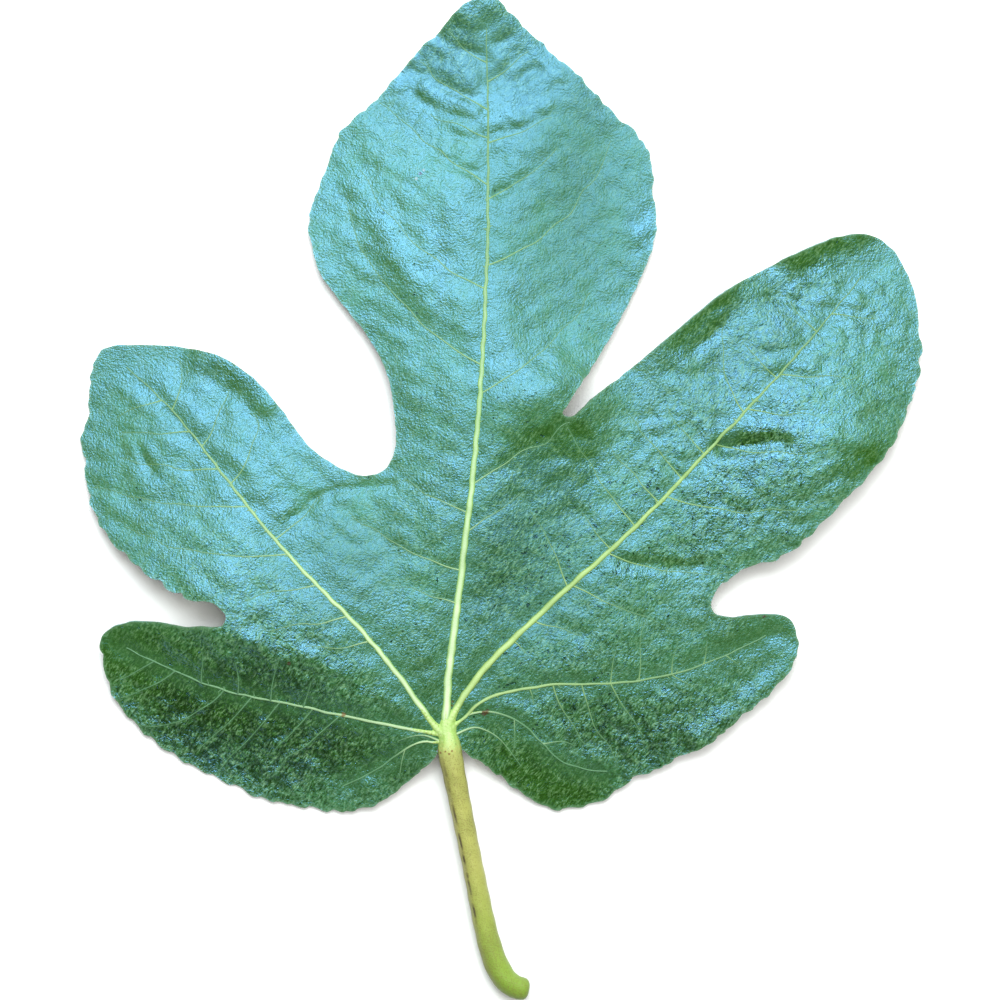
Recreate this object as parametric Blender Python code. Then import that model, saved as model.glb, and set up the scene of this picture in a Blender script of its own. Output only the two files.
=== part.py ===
"""A picked fig leaf lying on its underside: a five-lobed blade, raised ribs, a hub and a stalk.

Lengths are in millimetres on the leaf's own plan, with the hub of the ribs at (0, 0), +Y along the
midrib and +Z up; MM turns them into metres. The third number of a point is the height of the
blade's underside above the surface that the leaf lies on.
"""
import math

import bmesh
import bpy
import numpy as np
from mathutils import Vector
from mathutils.geometry import delaunay_2d_cdt

MM = 0.001

BLADE_THICKNESS = 2.1
GAP = 0.35
SURFACE_SMOOTHING = 15.0

TOOTH_PITCH = 5.2
TOOTH_HEIGHT = 0.8
TOOTH_DRIFT = 0.125
TOOTH_DRIFT_RATE = 2.4
POINTS_PER_TOOTH = 4
PLAIN_MARGIN_STEP = 2.6
CURVE_STEP = 0.5

PLAN_GRID_STEP = 6.5
PLAN_ROW_SHARE = math.sqrt(3) / 2
PLAN_CLEARANCE = 2.6
LINE_CLEARANCE = 0.9
RIB_STEP = 5.0
LONGEST_LINK = 1.5 * RIB_STEP
RIDGE_FLANK = 1.5
RIDGE_HEIGHT = 0.5
PILLOW_HEIGHT = 0.5
PILLOW_REACH = 5.0

MARGIN = (
    # lower right lobe: lower margin, then its tip and upper margin into the sinus
    (True, ((3.8, -2.6, 4.6), (11, -7.4, 3.0), (18, -12.8, 1.0), (24.8, -15.6, 0), (33, -13.4, 0.4),
            (38.5, -9.1, 1.4), (46.6, -5.6, 2.0), (54, -2.1, 2.4), (61, 3.8, 2.6),
            (67.5, 9.2, 2.8), (72.8, 15.6, 2.8))),
    (False, ((74.3, 20.8, 3.2), (71.6, 25, 3.6), (65.5, 25.5, 3.9), (60, 25, 4.2),
             (56.2, 26, 4.6), (55.4, 28.6, 4.8))),
    # upper right lobe: lower margin, then its tip and upper margin into the sinus
    (True, ((57.2, 31.8, 5.0), (63, 36, 5.0), (70.2, 38.1, 5.0), (76.2, 43, 5.0),
            (82, 49, 4.8), (88.4, 55.6, 4.2), (93.2, 61.6, 3.6), (96.4, 68.7, 3.0),
            (98.9, 76, 2.4))),
    (False, ((99.7, 84, 1.8), (99.2, 92.4, 1.0), (96.2, 101.2, 0.4), (91.3, 105, 0),
             (86, 105.6, 0), (79, 103.6, 0.3), (69.8, 99.4, 0.9), (59.7, 93.9, 1.7),
             (49.5, 85.8, 2.8), (39.6, 77.6, 3.9), (30.2, 70.2, 5.0), (26.8, 67, 5.5),
             (24.4, 67, 5.4))),
    # top lobe: right side, tip and left side into the sinus
    (False, ((26.6, 71, 4.8), (32, 79.2, 4.4), (38.4, 90.7, 4.0), (42.9, 100.8, 3.6),
             (44.4, 107.5, 3.2))),
    (True, ((43.3, 115, 2.8), (41.8, 123.6, 2.4), (34.7, 130.8, 2.0), (27.6, 138.2, 1.8),
            (20.2, 144.7, 1.6), (13.3, 151.2, 1.4))),
    (False, ((9, 154.8, 1.2), (3.8, 153.2, 1.2))),
    (True, ((-2.2, 147, 1.2), (-8.9, 140.6, 1.0), (-15, 132.9, 0.8), (-21.6, 126.8, 0.7),
            (-25, 118, 0.8), (-27.7, 111, 1.2))),
    (False, ((-28.2, 104.5, 1.8), (-26.5, 97.6, 2.4), (-21.5, 90.6, 3.0), (-15.7, 83, 3.6),
             (-12, 75.4, 4.2), (-10.5, 66.3, 4.8), (-10.5, 59.8, 5.0), (-12.8, 55.8, 5.0),
             (-17.2, 54.5, 4.8), (-22.6, 56.6, 4.4), (-28.6, 60.8, 3.8))),
    # upper left lobe: upper margin, then its lower margin
    (False, ((-34.2, 68.2, 2.9), (-40.4, 75.2, 2.2), (-48, 80, 1.6), (-56, 81.8, 1.0),
             (-64.5, 82.3, 0.4), (-72.4, 81.4, 0), (-74.8, 76.2, 0))),
    (True, ((-75.2, 67, 0.3), (-75.4, 58.5, 1.0), (-74.4, 50.4, 2.0), (-70.6, 42.6, 3.2),
            (-64.4, 36.7, 4.8), (-56.8, 31.3, 6.4))),
    # lower left lobe: out of the sinus along its upper margin, then back under it to the stalk
    (False, ((-50.3, 28, 7.6), (-45.4, 24.7, 8.2), (-46.4, 22.9, 8.1), (-52.5, 22.6, 7.2),
             (-59.5, 23.9, 5.8), (-67, 23.7, 4.4), (-72.3, 20.8, 3.2))),
    (True, ((-72.2, 16.4, 2.6), (-69.9, 9, 1.6), (-63, 0.8, 0.6), (-54.2, -5.5, 0.1),
            (-45, -10, 0), (-35.8, -14, 0), (-21.8, -15.9, 0.4), (-13.6, -13.4, 1.6),
            (-7.0, -8.0, 3.2), (-2.3, -3.5, 4.6))),
)

# Each rib: width and depth at its base, the course of its centre, and its side veins.
# A side vein is (distance along the rib, leaving angle in degrees, length, bend in degrees),
# with positive angles to the left of the rib as it grows and the bend turning towards its tip.
RIBS = {
    "midrib": (
        2.2, 2.1,
        ((1.1, 6.5, 5.8), (2, 20, 6.6), (3.9, 38, 7.4), (5.9, 55, 7.8), (7.4, 72, 7.6), (8.3, 88, 6.8),
         (8.9, 104, 5.6), (9, 120, 4.2), (8.9, 136, 2.8), (8.6, 148.5, 1.7)),
        ((21, 78, 12, 0), (28, 82, 27, 26), (40, 72, 15, 2), (71, 65, 46, 42), (87, 68, 37, 40),
         (109, 56, 29, 8), (119, 67, 13, 0), (125, 60, 18, 10), (135, 62, 10, 20),
         (36, -44, 13, -6), (46, -50, 24, -6), (65, -57, 32, 26), (92, -68, 39, 52),
         (106, -60, 18, 15), (118, -75, 14, 15), (131, -66, 11, 25))),
    "upper_left_rib": (
        2.0, 1.8,
        ((-3.1, 4.1, 6.0), (-8.8, 11.6, 7.2), (-20.3, 24.9, 7.8), (-34, 39.6, 6.6), (-46, 54.2, 4.8),
         (-57, 67.8, 2.8), (-67.5, 77.6, 0.9)),
        ((20, 65, 15, 20), (27, 62, 20, 20), (36, 54, 15, -5), (45, 54, 35, 32), (58, 54, 33, 20),
         (68, 54, 21, 18), (78, 55, 14, 8), (87, 62, 11, 5),
         (49, -95, 14, 15), (64, -85, 17, 60), (74, -78, 13, 38), (84, -70, 11, 38))),
    "upper_right_rib": (
        2.2, 1.9,
        ((3.5, 6.3, 5.7), (9.4, 15, 5.8), (24, 29, 5.8), (40.5, 44.6, 5.6), (57.5, 62.4, 4.6),
         (73.5, 79.6, 3.2), (88, 96.8, 1.2)),
        ((34, 70, 18, -6), (46, 92, 10, 10), (53, 85, 24, 8), (60, 86, 18, 4), (67, 85, 19, 5),
         (74, 87, 13, 8), (86, 80, 21, 60), (96, 88, 11, 6), (109, 86, 8, 5),
         (18, -80, 5, 0), (24, -66, 11, 16), (35, -70, 20, 12), (45, -66, 36, 42),
         (62, -66, 39, 42), (77, -62, 25, 26), (87, -56, 14, 5), (97, -54, 18, 11),
         (114, -58, 9, 5))),
    "lower_left_rib": (
        1.5, 1.5,
        ((-3.1, 0.9, 5.7), (-14.6, 3.1, 6.2), (-30.9, 6.5, 5.2), (-46, 9.7, 4.6), (-58.8, 14.7, 3.8),
         (-67, 18.4, 3.2)),
        ((17, 54, 15, 2), (27, 80, 11, 14), (32, 63, 14, 0), (41, 66, 20, 62), (53, 62, 12, 32),
         (27, -95, 5, 0), (35, -88, 9, 0), (41, -82, 8, 0), (48, -73, 4, 0))),
    "lower_right_rib": (
        1.5, 1.5,
        ((4.7, 4.2, 5.3), (9, 7.3, 5.2), (21.5, 10.1, 4.8), (36, 10.8, 4.2), (48, 13, 3.8),
         (58.5, 16.8, 3.4), (67.5, 21, 3.2)),
        ((32, 80, 8, 0), (38, 78, 13, -3), (45, 68, 7, 0), (52, 58, 5, 0),
         (15, -80, 4, 0), (20, -78, 17, 36), (26, -77, 19, 20), (32, -66, 14, 12),
         (45, -54, 6, 10), (57, -64, 4, 0))),
    "basal_right_vein": (
        1.1, 1.2,
        ((5.0, 1.7, 5.0), (8.6, 4.0, 4.9), (13.4, 3.9, 4.4), (19.2, 0.5, 3.6), (23.4, -4.4, 2.4),
         (26.5, -9.6, 1.2)), ()),
    "basal_left_vein": (
        1.1, 1.1,
        ((-2.5, -0.8, 5.3), (-9.5, -1.9, 4.9), (-15.5, -3.6, 3.8), (-20.5, -6.4, 2.6), (-24.5, -9.2, 1.7)),
        ()),
}
BETWEEN_RIBS = ((-32, 22, 8.3), (-14, 11.5, 7.6), (-12, 38, 6.8), (14, 30, 5.2), (18, 56, 5.4),
                (-12, 112, 3.4), (26, 112, 4.0), (76, 62, 4.4), (58, 46, 5.2), (66, 86, 2.6),
                (-60, 50, 3.4), (52, 4, 2.9), (20, -2, 3.6), (-25, -5, 2.4))

# Cross-sections that hang under the blade: shares of the width across and of the depth down.
RIB_SECTION = ((-0.5, 0), (0.5, 0), (0.42, 0.55), (0.2, 0.95), (-0.2, 0.95), (-0.42, 0.55))
RIB_TIP_WIDTH = 0.5
RIB_TIP_DEPTH = 0.45
RIB_TAPER = 0.8

SIDE_VEIN_SECTION = ((-0.5, 0), (0.5, 0), (0.2, 1), (-0.2, 1))
SIDE_VEIN_STEP = 6.0
SIDE_VEIN_DROP = 0.08
SIDE_VEIN_WIDTH = 1.1
SIDE_VEIN_DEPTH = 0.8
SIDE_VEIN_TIP = 0.35
SIDE_VEIN_DEPTH_LOSS = 0.6
WIDEST_ON_RIB = 0.8
DEEPEST_ON_RIB = 0.7

HUB_CENTRE = (0.9, 1.7)
HUB_RADII = (3.6, 4.3)
HUB_DEPTH = 3.0
HUB_WALL = 0.4
HUB_ROUNDNESS = 0.96
HUB_RINGS = 4
HUB_SIDES = 16

# The stalk's centre line with its radius, from its top against the hub to the picked foot.
STALK = ((1.2, -3.5, 5.1, 2.5), (2.2, -10, 4.9, 2.35), (4.0, -20, 4.4, 2.2), (6.0, -30, 3.8, 2.15),
         (8.0, -40, 3.1, 2.3), (9.7, -46.6, 2.7, 2.5), (12.0, -51.2, 2.6, 2.6),
         (14.5, -53.3, 2.6, 2.55), (16.1, -54.0, 2.5, 2.35))
STALK_STEP = 2.6
STALK_SIDES = 14
FOOT_ROUNDING = ((0.3, 0.96), (0.6, 0.8), (0.75, 0.6))
STALK_TOP_ROUNDING = 0.92

GREEN = (0.055, 0.16, 0.075, 1)
PALE_GREEN = (0.55, 0.72, 0.25, 1)
STALK_GREEN = (0.42, 0.48, 0.11, 1)
SHARP_EDGE = math.radians(50)


def clear_scene():
    """Remove every object that the new file holds."""
    for old in list(bpy.data.objects):
        bpy.data.objects.remove(old, do_unlink=True)


def leaf_material(name, colour, roughness):
    """Return a plain material in the part's colour."""
    material = bpy.data.materials.new(name)
    material.use_nodes = True
    shader = material.node_tree.nodes["Principled BSDF"]
    shader.inputs["Base Color"].default_value = colour
    shader.inputs["Roughness"].default_value = roughness
    shader.inputs["Metallic"].default_value = 0
    return material


def new_object(name, vertices, faces, material):
    """Make one closed mesh object from points in millimetres."""
    mesh = bpy.data.meshes.new(name)
    mesh.from_pydata([Vector(v) * MM for v in vertices], [], faces)
    shape = bmesh.new()
    shape.from_mesh(mesh)
    bmesh.ops.recalc_face_normals(shape, faces=shape.faces)
    shape.to_mesh(mesh)
    shape.free()
    mesh.materials.append(material)
    part = bpy.data.objects.new(name, mesh)
    bpy.context.collection.objects.link(part)
    return part


def curve_through(points, step, closed=False):
    """Sample a centripetal Catmull-Rom curve; returns points and the index of each one's span."""
    knots = np.array(points, float)
    count = len(knots)
    if not closed:
        before = 2 * knots[0] - knots[1]
        after = 2 * knots[-1] - knots[-2]
        knots = np.vstack([before, knots, after])
    spans = count if closed else count - 1
    samples = []
    owners = []
    for i in range(spans):
        if closed:
            p0, p1, p2, p3 = (knots[(i + k - 1) % count] for k in range(4))
        else:
            p0, p1, p2, p3 = knots[i:i + 4]
        t1 = math.dist(p0, p1) ** 0.5
        t2 = t1 + math.dist(p1, p2) ** 0.5
        t3 = t2 + math.dist(p2, p3) ** 0.5
        pieces = max(1, round(math.dist(p1, p2) / step))
        for t in np.linspace(t1, t2, pieces, endpoint=False):
            a1 = p0 + (p1 - p0) * t / t1
            a2 = p1 + (p2 - p1) * (t - t1) / (t2 - t1)
            a3 = p2 + (p3 - p2) * (t - t2) / (t3 - t2)
            b1 = a1 + (a2 - a1) * t / t2
            b2 = a2 + (a3 - a2) * (t - t1) / (t3 - t1)
            samples.append(b1 + (b2 - b1) * (t - t1) / (t2 - t1))
            owners.append(i)
    if not closed:
        samples.append(knots[-2])
        owners.append(spans - 1)
    return np.array(samples), owners


def even_steps(points, step):
    """Return points spread evenly along a polyline, about one step apart, ends kept."""
    lengths = np.linalg.norm(np.diff(points, axis=0), axis=1)
    along = np.concatenate([[0], np.cumsum(lengths)])
    count = max(2, round(along[-1] / step) + 1)
    places = np.linspace(0, along[-1], count)
    return np.column_stack([np.interp(places, along, points[:, k]) for k in range(points.shape[1])])


class Underside:
    """Height of the blade's underside: a thin plate bent through the named heights."""

    def __init__(self):
        spots = [p for _, run in MARGIN for p in run]
        spots += [p for rib in RIBS.values() for p in rib[2]]
        spots += list(BETWEEN_RIBS)
        table = np.array(spots, float)
        count = len(table)
        self.centres = table[:, :2]
        plane = np.column_stack([np.ones(count), self.centres])
        system = np.zeros((count + 3, count + 3))
        system[:count, :count] = self.kernel(self.centres) + SURFACE_SMOOTHING * np.eye(count)
        system[:count, count:] = plane
        system[count:, :count] = plane.T
        self.weights = np.linalg.solve(system, np.concatenate([table[:, 2], np.zeros(3)]))

    def kernel(self, places):
        """Return the thin plate's response at each place to each named height."""
        square = ((places[:, None, :] - self.centres[None]) ** 2).sum(axis=2)
        return 0.5 * square * np.log(np.maximum(square, 1e-9))

    def height(self, x, y):
        """Return the underside's height at one plan point, never below the floor."""
        place = np.array([[x, y]], float)
        bend = self.kernel(place) @ self.weights[:-3]
        tilt = self.weights[-3] + x * self.weights[-2] + y * self.weights[-1]
        return max(float(bend[0]) + float(tilt), 0.0)


def toothed_run(points):
    """Push a margin run outwards into rounded teeth; the points run anticlockwise."""
    lengths = np.linalg.norm(np.diff(points, axis=0), axis=1)
    along = np.concatenate([[0], np.cumsum(lengths)])
    teeth = max(2, round(along[-1] / TOOTH_PITCH))
    run = []
    for i in range(teeth * POINTS_PER_TOOTH):
        phase = i / POINTS_PER_TOOTH
        drift = TOOTH_DRIFT * math.sin(TOOTH_DRIFT_RATE * phase)
        place = along[-1] * (phase + drift * math.sin(math.pi * phase / teeth)) / teeth
        x, y = (np.interp(place, along, points[:, k]) for k in range(2))
        ahead = [np.interp(place + 1, along, points[:, k]) for k in range(2)]
        behind = [np.interp(place - 1, along, points[:, k]) for k in range(2)]
        way = Vector((ahead[0] - behind[0], ahead[1] - behind[1])).normalized()
        swell = TOOTH_HEIGHT * math.sqrt(abs(math.sin(math.pi * phase)))
        run.append((x + way.y * swell, y - way.x * swell))
    return run


def margin_line():
    """Return the blade's outline as plan points, with teeth where the margin has them."""
    knots = [point[:2] for _, run in MARGIN for point in run]
    toothed = [flag for flag, run in MARGIN for _ in run]
    fine, owners = curve_through(knots, CURVE_STEP, closed=True)
    outline = []
    start = 0
    while start < len(fine):
        flag = toothed[owners[start]]
        end = start
        while end < len(fine) and toothed[owners[end]] == flag:
            end += 1
        run = np.vstack([fine[start:end], fine[end % len(fine)]])
        if flag:
            outline += toothed_run(run)
        else:
            outline += [tuple(p) for p in even_steps(run, PLAIN_MARGIN_STEP)[:-1]]
        start = end
    return outline


def is_inside(place, outline):
    """Tell whether a plan point lies inside a closed outline."""
    x, y = place
    inside = False
    for (x1, y1), (x2, y2) in zip(outline, outline[1:] + outline[:1]):
        if (y1 > y) != (y2 > y) and x < x1 + (y - y1) * (x2 - x1) / (y2 - y1):
            inside = not inside
    return inside


def rib_course(name):
    """Return a rib's centre line as evenly spread plan points."""
    fine, _ = curve_through([p[:2] for p in RIBS[name][2]], CURVE_STEP)
    return even_steps(fine, RIB_STEP)


def side_vein_courses(name):
    """Return the centre line of each side vein of a rib, as an arc that leaves it at an angle."""
    fine, _ = curve_through([p[:2] for p in RIBS[name][2]], CURVE_STEP)
    along = np.concatenate([[0], np.cumsum(np.linalg.norm(np.diff(fine, axis=0), axis=1))])
    courses = []
    for place, angle, length, bend in RIBS[name][3]:
        i = min(int(np.searchsorted(along, place)), len(fine) - 2)
        way = fine[i + 1] - fine[i]
        heading = math.atan2(way[1], way[0]) + math.radians(angle)
        steps = max(2, round(length / SIDE_VEIN_STEP))
        course = [fine[i]]
        for k in range(steps):
            turned = heading - math.copysign(math.radians(bend), angle * bend) * (k + 0.5) / steps
            stride = length / steps
            course.append(course[-1] + stride * np.array([math.cos(turned), math.sin(turned)]))
        courses.append(np.array(course))
    return courses


def plan_mesh(outline, lines):
    """Triangulate the blade's plan round its ribs; returns plan points and triangles."""
    points = [Vector(p) for p in outline]
    edges = [(i, (i + 1) % len(points)) for i in range(len(points))]
    for line in lines:
        keep = [Vector(p) for p in line if is_inside(p, outline)]
        keep = [p for p in keep if min((p - q).length for q in points) > LINE_CLEARANCE]
        first = len(points)
        points += keep
        edges += [(first + i, first + i + 1) for i in range(len(keep) - 1)
                  if (keep[i] - keep[i + 1]).length < LONGEST_LINK]
    low = [min(p[k] for p in outline) for k in range(2)]
    high = [max(p[k] for p in outline) for k in range(2)]
    row_step = PLAN_GRID_STEP * PLAN_ROW_SHARE
    for row in range(int((high[1] - low[1]) / row_step) + 1):
        for column in range(int((high[0] - low[0]) / PLAN_GRID_STEP) + 1):
            place = Vector((low[0] + (column + row % 2 / 2) * PLAN_GRID_STEP, low[1] + row * row_step))
            if is_inside(place, outline) and min((place - q).length for q in points) > PLAN_CLEARANCE:
                points.append(place)
    result = delaunay_2d_cdt(points, edges, [list(range(len(outline)))], 1, 1e-6)
    return result[0], result[2]


def distance_to_lines(place, lines):
    """Return the distance from a plan point to the nearest of some polylines."""
    nearest = math.inf
    p = np.array(place)
    for line in lines:
        starts = line[:-1]
        ways = line[1:] - starts
        share = ((p - starts) * ways).sum(axis=1) / (ways ** 2).sum(axis=1)
        feet = starts + np.clip(share, 0, 1)[:, None] * ways
        nearest = min(nearest, float(np.linalg.norm(feet - p, axis=1).min()))
    return nearest


def flank_lines(course):
    """Return the two lines that run beside a rib at the foot of its ridge."""
    ways = np.gradient(course, axis=0)
    ways /= np.linalg.norm(ways, axis=1)[:, None]
    beside = np.column_stack([-ways[:, 1], ways[:, 0]]) * RIDGE_FLANK
    return [course + beside, course - beside]


def build_blade(underside, material):
    """Build the blade: an arched sheet, ridged over its ribs and domed between its side veins."""
    outline = margin_line()
    ribs = [rib_course(name) for name in RIBS]
    veins = [course for name in RIBS for course in side_vein_courses(name)]
    flanks = [line for course in ribs for line in flank_lines(course)]
    plan, triangles = plan_mesh(outline, ribs + flanks)
    count = len(plan)
    lower = []
    upper = []
    for place in plan:
        x, y = place
        floor = underside.height(x, y)
        to_rib = distance_to_lines(place, ribs)
        to_vein = distance_to_lines(place, veins)
        ridge = RIDGE_HEIGHT * max(0.0, 1 - to_rib / RIDGE_FLANK)
        pillow = PILLOW_HEIGHT * min(1.0, to_vein / PILLOW_REACH, to_rib / PILLOW_REACH)
        lower.append((x, y, floor))
        upper.append((x, y, floor + BLADE_THICKNESS + max(ridge, pillow)))
    faces = [tuple(t) for t in triangles]
    faces += [tuple(count + i for i in reversed(t)) for t in triangles]
    sides = {}
    for a, b, c in triangles:
        for edge in ((a, b), (b, c), (c, a)):
            sides[edge] = True
    rim = [edge for edge in sides if (edge[1], edge[0]) not in sides]
    faces += [(b, a, count + a, count + b) for a, b in rim]
    return new_object("leaf_blade", lower + upper, faces, material)


def hugging_bar(underside, course, widths, depths, drop, section):
    """Sweep a bar that hangs just under the blade; returns its points and faces."""
    ways = np.gradient(course, axis=0)
    ways /= np.linalg.norm(ways, axis=1)[:, None]
    points = []
    for (x, y), way, width, depth in zip(course, ways, widths, depths):
        for across, down in section:
            px = x - way[1] * across * width
            py = y + way[0] * across * width
            points.append((px, py, underside.height(px, py) - GAP - drop - down * depth))
    sides = len(section)
    faces = [tuple(range(sides)), tuple(range(len(points) - 1, len(points) - 1 - sides, -1))]
    for i in range(len(course) - 1):
        for k in range(sides):
            a = i * sides + k
            b = i * sides + (k + 1) % sides
            faces.append((a, b, b + sides, a + sides))
    return points, faces


def build_rib(name, underside, material):
    """Build one rib with its side veins fused on by one union."""
    base_width, base_depth, _, _ = RIBS[name]
    course = rib_course(name)
    along = np.linspace(0, 1, len(course))
    widths = base_width + (RIB_TIP_WIDTH - base_width) * along ** RIB_TAPER
    depths = base_depth + (RIB_TIP_DEPTH - base_depth) * along ** RIB_TAPER
    points, faces = hugging_bar(underside, course, widths, depths, 0, RIB_SECTION)
    rib = new_object(name, points, faces, material)
    branches = bpy.data.collections.new(name + "_side_veins")
    bpy.context.scene.collection.children.link(branches)
    for i, vein in enumerate(side_vein_courses(name)):
        near = float(np.interp(RIBS[name][3][i][0] / RIB_STEP, range(len(widths)), widths))
        share = np.linspace(0, 1, len(vein))
        width = min(SIDE_VEIN_WIDTH, WIDEST_ON_RIB * near)
        depth = min(SIDE_VEIN_DEPTH, DEEPEST_ON_RIB * near)
        vein_widths = width + (SIDE_VEIN_TIP - width) * share
        vein_depths = depth * (1 - SIDE_VEIN_DEPTH_LOSS * share)
        shape = hugging_bar(underside, vein, vein_widths, vein_depths, SIDE_VEIN_DROP, SIDE_VEIN_SECTION)
        branch = new_object(f"{name}_vein_{i + 1}", *shape, material)
        bpy.context.collection.objects.unlink(branch)
        branches.objects.link(branch)
    if len(branches.objects):
        join_branches(rib, branches)
    bpy.data.collections.remove(branches)
    return rib


def join_branches(rib, branches):
    """Fuse a collection of branches onto their rib and remove them."""
    union = rib.modifiers.new("side veins", "BOOLEAN")
    union.operation = "UNION"
    union.operand_type = "COLLECTION"
    union.collection = branches
    union.solver = "EXACT"
    union.use_self = True
    bpy.context.view_layer.update()
    bpy.context.view_layer.objects.active = rib
    bpy.ops.object.modifier_apply(modifier=union.name)
    for branch in list(branches.objects):
        bpy.data.objects.remove(branch, do_unlink=True)


def build_hub(underside, material):
    """Build the knot under the blade's foot where the ribs meet the stalk."""
    top = []
    bottom = []
    for ring in range(1, HUB_RINGS + 1):
        reach = ring / HUB_RINGS
        for k in range(HUB_SIDES):
            turn = 2 * math.pi * k / HUB_SIDES
            x = HUB_CENTRE[0] + HUB_RADII[0] * reach * math.cos(turn)
            y = HUB_CENTRE[1] + HUB_RADII[1] * reach * math.sin(turn)
            roof = underside.height(x, y) - GAP
            top.append((x, y, roof))
            belly = HUB_DEPTH * math.sqrt(1 - HUB_ROUNDNESS * reach ** 2)
            bottom.append((x, y, roof - HUB_WALL - belly))
    points = top + bottom
    centre = underside.height(*HUB_CENTRE) - GAP
    points += [(*HUB_CENTRE, centre), (*HUB_CENTRE, centre - HUB_WALL - HUB_DEPTH)]
    faces = []
    offset = len(top)
    for k in range(HUB_SIDES):
        after = (k + 1) % HUB_SIDES
        faces.append((len(points) - 2, k, after))
        faces.append((len(points) - 1, offset + after, offset + k))
        for ring in range(HUB_RINGS - 1):
            a = ring * HUB_SIDES + k
            b = ring * HUB_SIDES + after
            faces.append((a, a + HUB_SIDES, b + HUB_SIDES, b))
            faces.append((offset + a, offset + b, offset + b + HUB_SIDES, offset + a + HUB_SIDES))
        edge = (HUB_RINGS - 1) * HUB_SIDES
        faces.append((edge + k, offset + edge + k, offset + edge + after, edge + after))
    return new_object("vein_hub", points, faces, material)


def build_stalk(material):
    """Build the stalk: a round tapering stem with a swollen, bent and flatly picked foot."""
    fine, _ = curve_through(STALK, CURVE_STEP)
    rings = even_steps(fine, STALK_STEP)
    centres = rings[:, :3]
    radii = rings[:, 3]
    ways = np.gradient(centres, axis=0)
    ways /= np.linalg.norm(ways, axis=1)[:, None]
    radii[0] *= STALK_TOP_ROUNDING
    for forward, share in FOOT_ROUNDING:
        centres = np.vstack([centres, rings[-1, :3] + ways[-1] * forward * rings[-1, 3]])
        radii = np.append(radii, rings[-1, 3] * share)
        ways = np.vstack([ways, ways[-1]])
    points = []
    for centre, way, radius in zip(centres, ways, radii):
        forward = Vector(way)
        side = forward.cross(Vector((0, 0, 1))).normalized()
        up = side.cross(forward)
        for k in range(STALK_SIDES):
            turn = 2 * math.pi * k / STALK_SIDES
            outward = side * math.cos(turn) + up * math.sin(turn)
            place = Vector(centre) + outward * float(radius)
            points.append((place.x, place.y, max(place.z, 0.0)))
    faces = [tuple(range(STALK_SIDES))]
    faces.append(tuple(range(len(points) - 1, len(points) - 1 - STALK_SIDES, -1)))
    for i in range(len(centres) - 1):
        for k in range(STALK_SIDES):
            a = i * STALK_SIDES + k
            b = i * STALK_SIDES + (k + 1) % STALK_SIDES
            faces.append((a, b, b + STALK_SIDES, a + STALK_SIDES))
    return new_object("leaf_stalk", points, faces, material)


def centre_on_footprint(parts):
    """Move the parts together so that the origin is under the middle of the leaf's box."""
    corners = np.array([v.co for part in parts for v in part.data.vertices])
    low = corners.min(axis=0)
    high = corners.max(axis=0)
    for part in parts:
        part.location = (-(low[0] + high[0]) / 2, -(low[1] + high[1]) / 2, -low[2])


def main():
    """Build the leaf."""
    clear_scene()
    green = leaf_material("blade green", GREEN, 0.45)
    pale = leaf_material("rib pale green", PALE_GREEN, 0.5)
    stalk_green = leaf_material("stalk green", STALK_GREEN, 0.5)
    underside = Underside()
    parts = [build_blade(underside, green)]
    parts += [build_rib(name, underside, pale) for name in RIBS]
    parts.append(build_hub(underside, pale))
    parts.append(build_stalk(stalk_green))
    for part in parts[1:]:
        part.data.shade_smooth()
        part.data.set_sharp_from_angle(angle=SHARP_EDGE)
    centre_on_footprint(parts)


main()
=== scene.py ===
"""A picked fig leaf on a pale floor: its blade, ribs with side veins, hub and stalk, fully dressed.

Plan places are millimetres from the hub of the ribs, with +Y along the midrib, as in the part's
source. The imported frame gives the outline, the heights and where the hub lies.
"""
import logging
import math
from dataclasses import dataclass
from enum import Enum
from functools import cached_property
from typing import Iterable

import bpy
import numpy as np
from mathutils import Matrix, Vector, noise
from mathutils.geometry import delaunay_2d_cdt
from mathutils.kdtree import KDTree


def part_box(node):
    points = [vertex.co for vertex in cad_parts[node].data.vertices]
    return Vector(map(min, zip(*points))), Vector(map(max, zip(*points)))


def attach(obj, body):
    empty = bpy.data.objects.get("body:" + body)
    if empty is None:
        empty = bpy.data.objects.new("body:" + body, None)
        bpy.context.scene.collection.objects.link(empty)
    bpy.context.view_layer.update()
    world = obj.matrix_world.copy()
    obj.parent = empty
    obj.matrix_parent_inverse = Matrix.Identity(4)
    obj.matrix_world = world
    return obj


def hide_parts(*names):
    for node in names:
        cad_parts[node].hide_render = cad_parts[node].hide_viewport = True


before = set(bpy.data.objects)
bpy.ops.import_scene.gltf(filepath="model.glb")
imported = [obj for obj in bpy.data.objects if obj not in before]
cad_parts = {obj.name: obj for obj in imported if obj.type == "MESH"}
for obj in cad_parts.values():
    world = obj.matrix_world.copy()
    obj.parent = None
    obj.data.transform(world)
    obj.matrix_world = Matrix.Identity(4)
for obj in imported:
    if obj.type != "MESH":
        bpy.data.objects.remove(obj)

LOG = logging.getLogger("fig_leaf")
MM = 0.001
SEED = 7

Points = np.ndarray
Colour = tuple[float, float, float]


class Side(Enum):
    """Side of a rib that a side vein leaves it on, seen growing away from the hub."""

    LEFT = 1
    RIGHT = -1


class Tone(Enum):
    """A rib's colour towards the hub."""

    CREAM = "cream"
    YELLOW = "yellow"


@dataclass(frozen=True)
class SideVein:
    """One side vein: an arc that leaves its rib at an angle and bends towards the rib's tip."""

    at: float
    angle: float
    length: float
    bend: float = 0.0

    @property
    def side(self) -> Side:
        """Side of the rib that the vein grows on."""
        return Side.LEFT if self.angle > 0 else Side.RIGHT


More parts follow.
